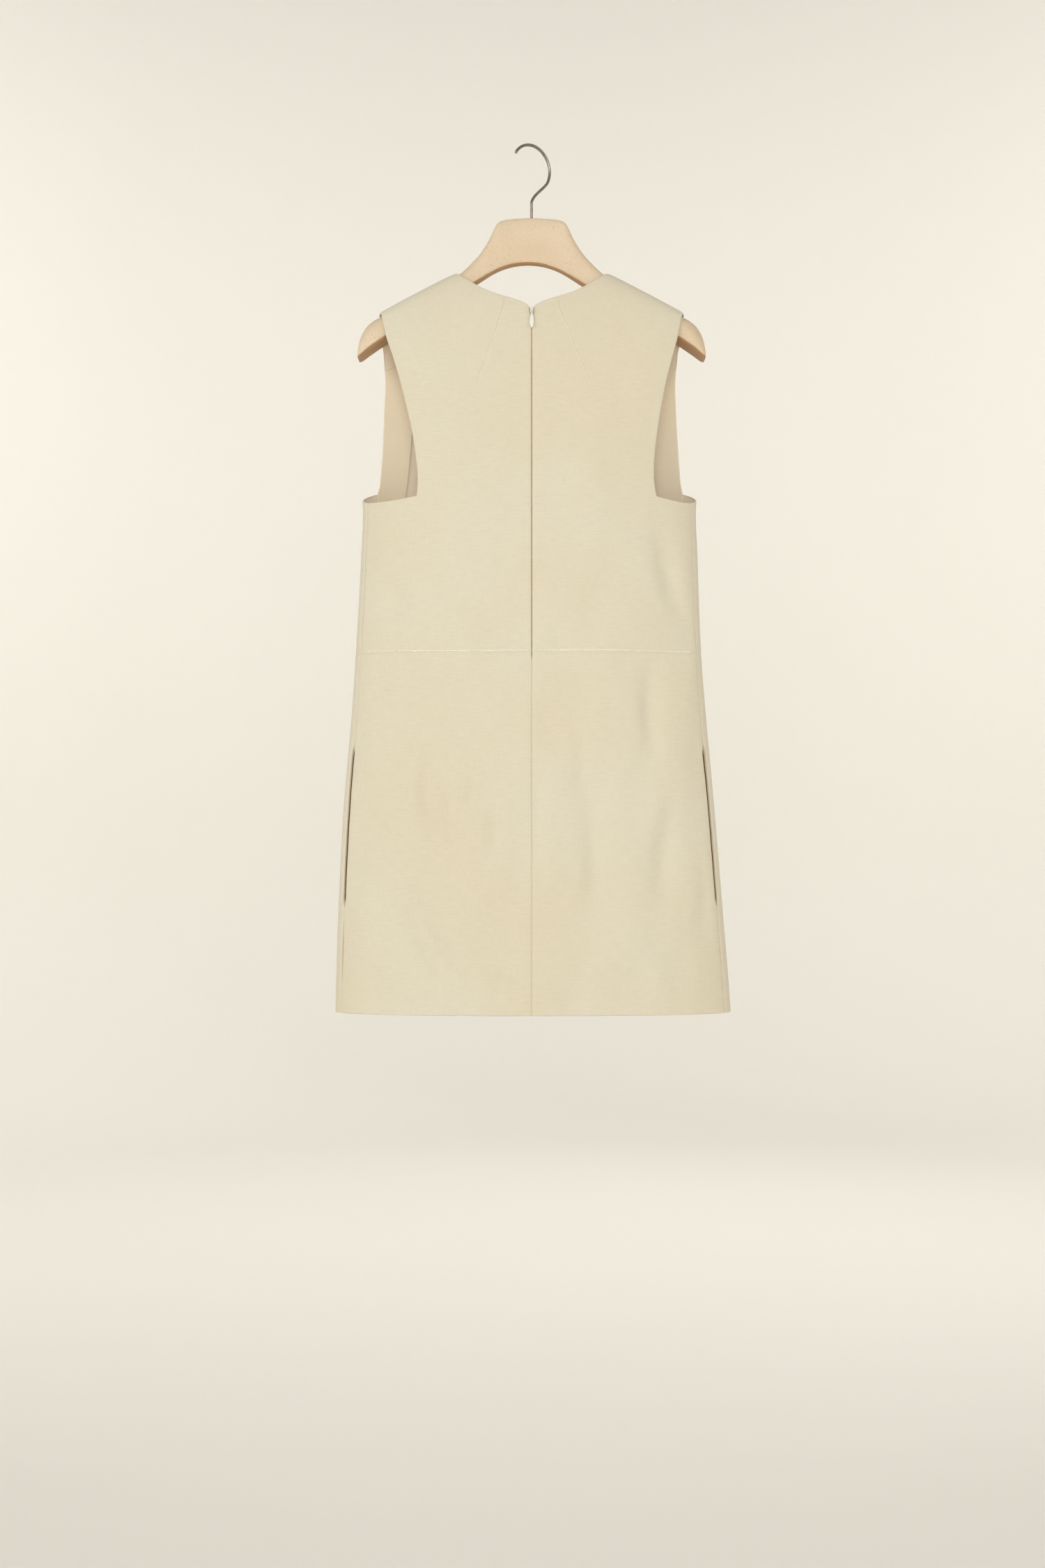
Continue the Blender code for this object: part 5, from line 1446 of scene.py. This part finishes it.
def tube_mesh(name, path, radius):
    """A round wire along a path, with domed ends."""
    tangents = np.gradient(path, axis=0)
    tangents /= np.linalg.norm(tangents, axis=1)[:, None]
    side = np.cross(tangents[0], WIRE_ACROSS)
    stations = []
    for point, along in zip(path, tangents):
        side = side - along * (side @ along)
        side = side / np.linalg.norm(side)
        stations.append((point, radius, side, along))

    def dome(station, way, angles):
        point, _, across, along = station
        return [(point + way * along * radius * math.sin(a), radius * math.cos(a), across, along)
                for a in angles]

    start = dome(stations[0], -1.0, np.linspace(WIRE_CAP_TURN, 0.0, WIRE_CAPS, endpoint=False))
    stop = dome(stations[-1], 1.0, np.linspace(0.0, WIRE_CAP_TURN, WIRE_CAPS + 1)[1:])
    turns = ring_turns(WIRE_SIDES)[:, None]
    rings = [centre + size * (np.cos(turns) * across + np.sin(turns) * np.cross(along, across))
             for centre, size, across, along in start + stations + stop]
    return loft_mesh(name, rings, WIRE_SHARP)


def loft_mesh(name, rings, sharp):
    """A closed mesh through rings that have as many points each."""
    bm = bmesh.new()
    loops = [[bm.verts.new(Vector(point) * MM) for point in ring] for ring in rings]
    for before, after in zip(loops, loops[1:]):
        for k in range(len(before)):
            nxt = (k + 1) % len(before)
            bm.faces.new((before[k], before[nxt], after[nxt], after[k]))
    bm.faces.new(loops[0])
    bm.faces.new(loops[-1])
    bmesh.ops.recalc_face_normals(bm, faces=bm.faces[:])
    return finished_mesh(name, bm, sharp)


def finished_mesh(name, bm, sharp=None):
    """A smooth mesh of what was built, with sharp edges past an angle in degrees."""
    mesh = bpy.data.meshes.new(name)
    bm.to_mesh(mesh)
    bm.free()
    mesh.shade_smooth()
    if sharp:
        mesh.set_sharp_from_angle(angle=math.radians(sharp))
    return mesh


# ---- the hanger

def hanger_section(x, top, bottom, thick):
    """Closed outline of the hanger's body at a station: round above, flat in front and beneath."""
    widest = bottom + HANGER_WIDEST_SHARE * (top - bottom)
    middle = float(ease(1.0 - abs(x) / HANGER_MIDDLE_REACH))
    above = HANGER_POWER_END + (HANGER_POWER_MIDDLE - HANGER_POWER_END) * middle
    ring = []
    for k in range(HANGER_SECTION_POINTS):
        angle = 2.0 * math.pi * k / HANGER_SECTION_POINTS
        cosine, sine = math.cos(angle), math.sin(angle)
        power = above if sine >= 0.0 else HANGER_POWER_BELOW
        rise = (top - widest) if sine >= 0.0 else (widest - bottom)
        ring.append((x, math.copysign(abs(cosine) ** (2.0 / power), cosine) * thick,
                     widest + math.copysign(abs(sine) ** (2.0 / power), sine) * rise))
    return ring


def make_hanger(material, underside):
    """The hanger's moulded body, with painted shade on its flat underside."""
    low = np.array(HANGER_LOW)
    xs, tops = along_line(HANGER_TOP, np.linspace(0.0, 1.0, HANGER_STATIONS + 1))
    thicks = curve_through(low[:, 0], low[:, 2], xs)
    rings = []
    for side in (RIGHT, LEFT):
        shift = side * ARCH_SHIFT * ease((ARCH_REACH - xs) / ARCH_FADE)
        bottoms = curve_through(low[:, 0], low[:, 1], np.abs(xs - shift))
        half = [hanger_section(side * x, *rest) for x, *rest in zip(xs, tops, bottoms, thicks)]
        rings += half[:0:-1] if side == RIGHT else half
    mesh = loft_mesh("hanger_moulding", rings, HANGER_SHARP)
    for finish in (material, underside):
        mesh.materials.append(finish)
    # Faces pointing down get the second material: painted shade
    for polygon in mesh.polygons:
        polygon.material_index = int(polygon.normal.z < UNDERSIDE_TILT)
    piece = add_piece("hanger_moulding", mesh)
    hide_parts("hanger_body")


def make_hook(material):
    """The wire hook, from its tip over the bend and down its stem into the body."""
    turn = math.radians(HOOK_TURN)
    centre_z = WIRE_RADIUS - HOOK_RADIUS
    arc_points, sweep_points, stem_points = HOOK_POINTS
    angles = np.radians(np.linspace(HOOK_TIP_ANGLE, HOOK_ARC_END, arc_points))
    flat = [(HOOK_RADIUS * math.cos(a), centre_z + HOOK_RADIUS * math.sin(a)) for a in angles]
    away = np.array((-math.sin(angles[-1]), math.cos(angles[-1])))
    start, stop = np.array(flat[-1]), np.array((0.0, HOOK_STEM_TOP_Z))
    handles = start + HOOK_SWEEP * away, stop + np.array((0.0, HOOK_STEM_SWEEP))
    for t in np.linspace(0.0, 1.0, sweep_points)[1:]:
        flat.append((1 - t) ** 3 * start + 3 * t * (1 - t) ** 2 * handles[0]
                    + 3 * t * t * (1 - t) * handles[1] + t ** 3 * stop)
    stem = np.linspace(HOOK_STEM_TOP_Z, HOOK_STEM_BOTTOM_Z, stem_points)[1:]
    x, z = np.array(flat + [(0.0, z) for z in stem]).T
    path = np.column_stack((x * math.cos(turn), x * math.sin(turn), z))
    mesh = tube_mesh("hook_wire", path, WIRE_RADIUS)
    piece = add_piece("hook_wire", mesh, material)
    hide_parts("hanger_hook")


# ---- the zip's pull

def slider_tilt():
    """Tilt of the cloth where the slider sits."""
    drop = drop_to(BACK, LEFT, 0.0, SLIDER_TOP_Z - 0.5 * SLIDER_HEIGHT)
    low, high = cloth_over(BACK, LEFT, np.zeros(2), np.array((drop + 1.0, drop - 1.0)))
    return -math.atan2(high[1] - low[1], high[2] - low[2])


def make_pull(material):
    """The leaf-shaped pull, hung by its hole on the slider's bail."""
    hinge = Vector(frame["record"]["behaviour"]["joints"][0]["pos_m"])
    down = np.linspace(0.0, 1.0, PULL_ROWS)
    halves = curve_through(*zip(*PULL_OUTLINE), down)
    rim = [(half, -PULL_LENGTH * at) for half, at in zip(halves, down)]
    outline = rim + [(-x, z) for x, z in reversed(rim[1:-1])]
    bm = bmesh.new()
    top_z = -PULL_HANG + PULL_RING
    outer = [bm.verts.new((x * MM, 0.0, (z + top_z) * MM)) for x, z in outline]
    hole = []
    for x, z in outline:
        angle = math.atan2(z + PULL_RING, x)
        hole.append(bm.verts.new((PULL_HOLE * math.cos(angle) * MM, 0.0,
                                  (PULL_HOLE * math.sin(angle) - PULL_RING + top_z) * MM)))
    for k in range(len(outline)):
        nxt = (k + 1) % len(outline)
        bm.faces.new((outer[k], outer[nxt], hole[nxt], hole[k]))
    spokes = [edge for edge in bm.edges if (edge.verts[0] in outer) != (edge.verts[1] in outer)]
    bmesh.ops.subdivide_edges(bm, edges=spokes, cuts=PULL_CUTS)
    front = bmesh.ops.extrude_face_region(bm, geom=bm.faces[:], use_keep_orig=True)["geom"]
    front = {item for item in front if isinstance(item, bmesh.types.BMVert)}
    for vert in bm.verts:
        vert.co.y = (0.5 if vert in front else -0.5) * PULL_THICKNESS * MM
    bmesh.ops.recalc_face_normals(bm, faces=bm.faces[:])
    rims = [edge for edge in bm.edges if len(edge.link_faces) == 2
            and edge.link_faces[0].normal.angle(edge.link_faces[1].normal, 0.0) > PULL_CORNER]
    bmesh.ops.bevel(bm, geom=rims, offset=PULL_ROUND * MM, segments=3, profile=0.6, affect="EDGES")
    hung = Matrix.Translation(hinge) @ Matrix.Rotation(slider_tilt(), 4, "X")
    bmesh.ops.transform(bm, matrix=hung, verts=bm.verts[:])
    piece = add_piece("pull_leaf", finished_mesh("pull_leaf", bm, PULL_SHARP), material, "zip_pull")
    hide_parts("zip_pull_tab")


# ---- studio, lights and camera

def make_studio(material):
    """A pale floor that curves up into a round wall, open above."""
    profile = [(FLOOR_RADIUS * share, FLOOR_Z)
               for share in np.linspace(0.0, 1.0, STUDIO_FLOOR_RINGS + 1)[1:]]
    for angle in np.radians(np.linspace(0.0, 90.0, STUDIO_COVE_RINGS + 1)[1:]):
        profile.append((FLOOR_RADIUS + COVE * math.sin(angle),
                        FLOOR_Z + COVE * (1.0 - math.cos(angle))))
    profile.append((FLOOR_RADIUS + COVE, WALL_TOP_Z))
    bm = bmesh.new()
    middle = bm.verts.new((0.0, 0.0, FLOOR_Z))
    loops = [[bm.verts.new((radius * math.cos(a), radius * math.sin(a), z))
              for a in ring_turns(STUDIO_SIDES)] for radius, z in profile]
    for k in range(STUDIO_SIDES):
        nxt = (k + 1) % STUDIO_SIDES
        bm.faces.new((middle, loops[0][k], loops[0][nxt]))
        for before, after in zip(loops, loops[1:]):
            bm.faces.new((before[k], after[k], after[nxt], before[nxt]))
    mesh = finished_mesh("studio", bm)
    mesh.materials.append(material)
    studio = bpy.data.objects.new("studio", mesh)
    bpy.context.scene.collection.objects.link(studio)


def add_light(name, place, target, size, power):
    """A soft square lamp aimed at a point, unseen by the camera."""
    data = bpy.data.lights.new(name, "AREA")
    data.shape, data.size, data.energy = "SQUARE", size, power
    lamp = bpy.data.objects.new(name, data)
    lamp.location = place
    lamp.rotation_euler = (Vector(target) - Vector(place)).to_track_quat("-Z", "Y").to_euler()
    lamp.visible_camera = False
    bpy.context.scene.collection.objects.link(lamp)


def add_camera():
    """The photograph's view: level, behind the dress, a little below its hook."""
    data = bpy.data.cameras.new("camera")
    data.sensor_fit = "VERTICAL"
    data.sensor_height = FILM_HEIGHT
    data.lens = LENS
    data.clip_start, data.clip_end = CLIP_NEAR, CLIP_FAR
    camera = bpy.data.objects.new("camera", data)
    camera.location = CAMERA_PLACE
    camera.rotation_euler = (math.pi / 2.0, 0.0, math.pi)
    bpy.context.scene.collection.objects.link(camera)
    bpy.context.scene.camera = camera


def light_studio():
    """Soft daylight on the dress, lamps for the walls on both sides, and a pale world."""
    for row in LIGHTS:
        add_light(*row)
    world = bpy.data.worlds.new("pale_world")
    world.use_nodes = True
    background = world.node_tree.nodes["Background"].inputs
    background["Color"].default_value = (*WORLD_COLOR, 1.0)
    background["Strength"].default_value = WORLD_STRENGTH
    bpy.context.scene.world = world
    bpy.context.scene.view_settings.view_transform = "Standard"


# ---- make it all

def dress_the_frame():
    """Every piece of the dress and its hanger."""
    cream = cloth_material("dress_cloth", CREAM)
    darted = cloth_material("darted_cloth_painted_shade", CREAM, seams=DARTS.values(), shade=DART_SHADE)
    seamed = cloth_material("seamed_cloth_painted_shade", CREAM, seams=(CENTRE_SEAM,), shade=CENTRE_SEAM_SHADE)
    # Painted light: the wrong side and the inside pieces are paler than the cream cloth
    wrong = cloth_material("wrong_side_painted_light", WRONG_SIDE_PAINTED_LIGHT, 0.4)
    inside = cloth_material("facing_cloth", INSIDE_PAINTED_LIGHT, 0.4)
    # Painted shade: the pockets' dark lining
    pocket = cloth_material("pocket_painted_shade", POCKET_SHADE_TONES, 0.4)
    # Painted shade: the tape's warm tan in the zip's slit
    tape = cloth_material("zip_tape_painted_shade", TAPE_SHADE_TONES, 0.2, CLOUD_PALE, TAPE_THREADS)

    make_hanger(hanger_material("hanger_moulding", HANGER_TONES),
                hanger_material("hanger_underside_painted_shade", UNDERSIDE_SHADE_TONES))
    make_hook(steel_material())
    for part, half in (("bodice", half_bodice), ("skirt", half_skirt)):
        cloth_panel("front_%s_cloth" % part, FRONT, *both_halves(half, FRONT), (cream, wrong),
                    CUTS["front_" + part])
    for side, word in ((LEFT, "left"), (RIGHT, "right")):
        for part, half, outside in (("bodice", half_bodice, darted), ("skirt", half_skirt, seamed)):
            cut = dict(CUTS["back_" + part], node="back_%s_%s" % (part, word))
            cloth_panel("back_%s_cloth_%s" % (part, word), BACK, *half(BACK, side),
                        (outside, wrong), cut)
        make_facing(side, word, inside)
        make_pocket_bag(side, word, (inside, pocket))
        make_zip_tape(side, word, tape)
    # The coil's tan is painted shade of the zip's slit
    make_zip_chain(lacquer_material("zip_coil_painted_shade", COIL_SHADE_TONES, roughness=0.5, coat=0.1))
    sew_stitches(thread_material())
    make_pull(lacquer_material("pull_lacquer", PULL_TONES, roughness=0.32, coat=0.5))
    slider = frame["nodes"]["zip_slider"].material_slots[0]
    slider.material = lacquer_material("slider_lacquer", SLIDER_TONES, roughness=0.4, coat=0.3)


add_camera()
make_studio(studio_material())
light_studio()
dress_the_frame()
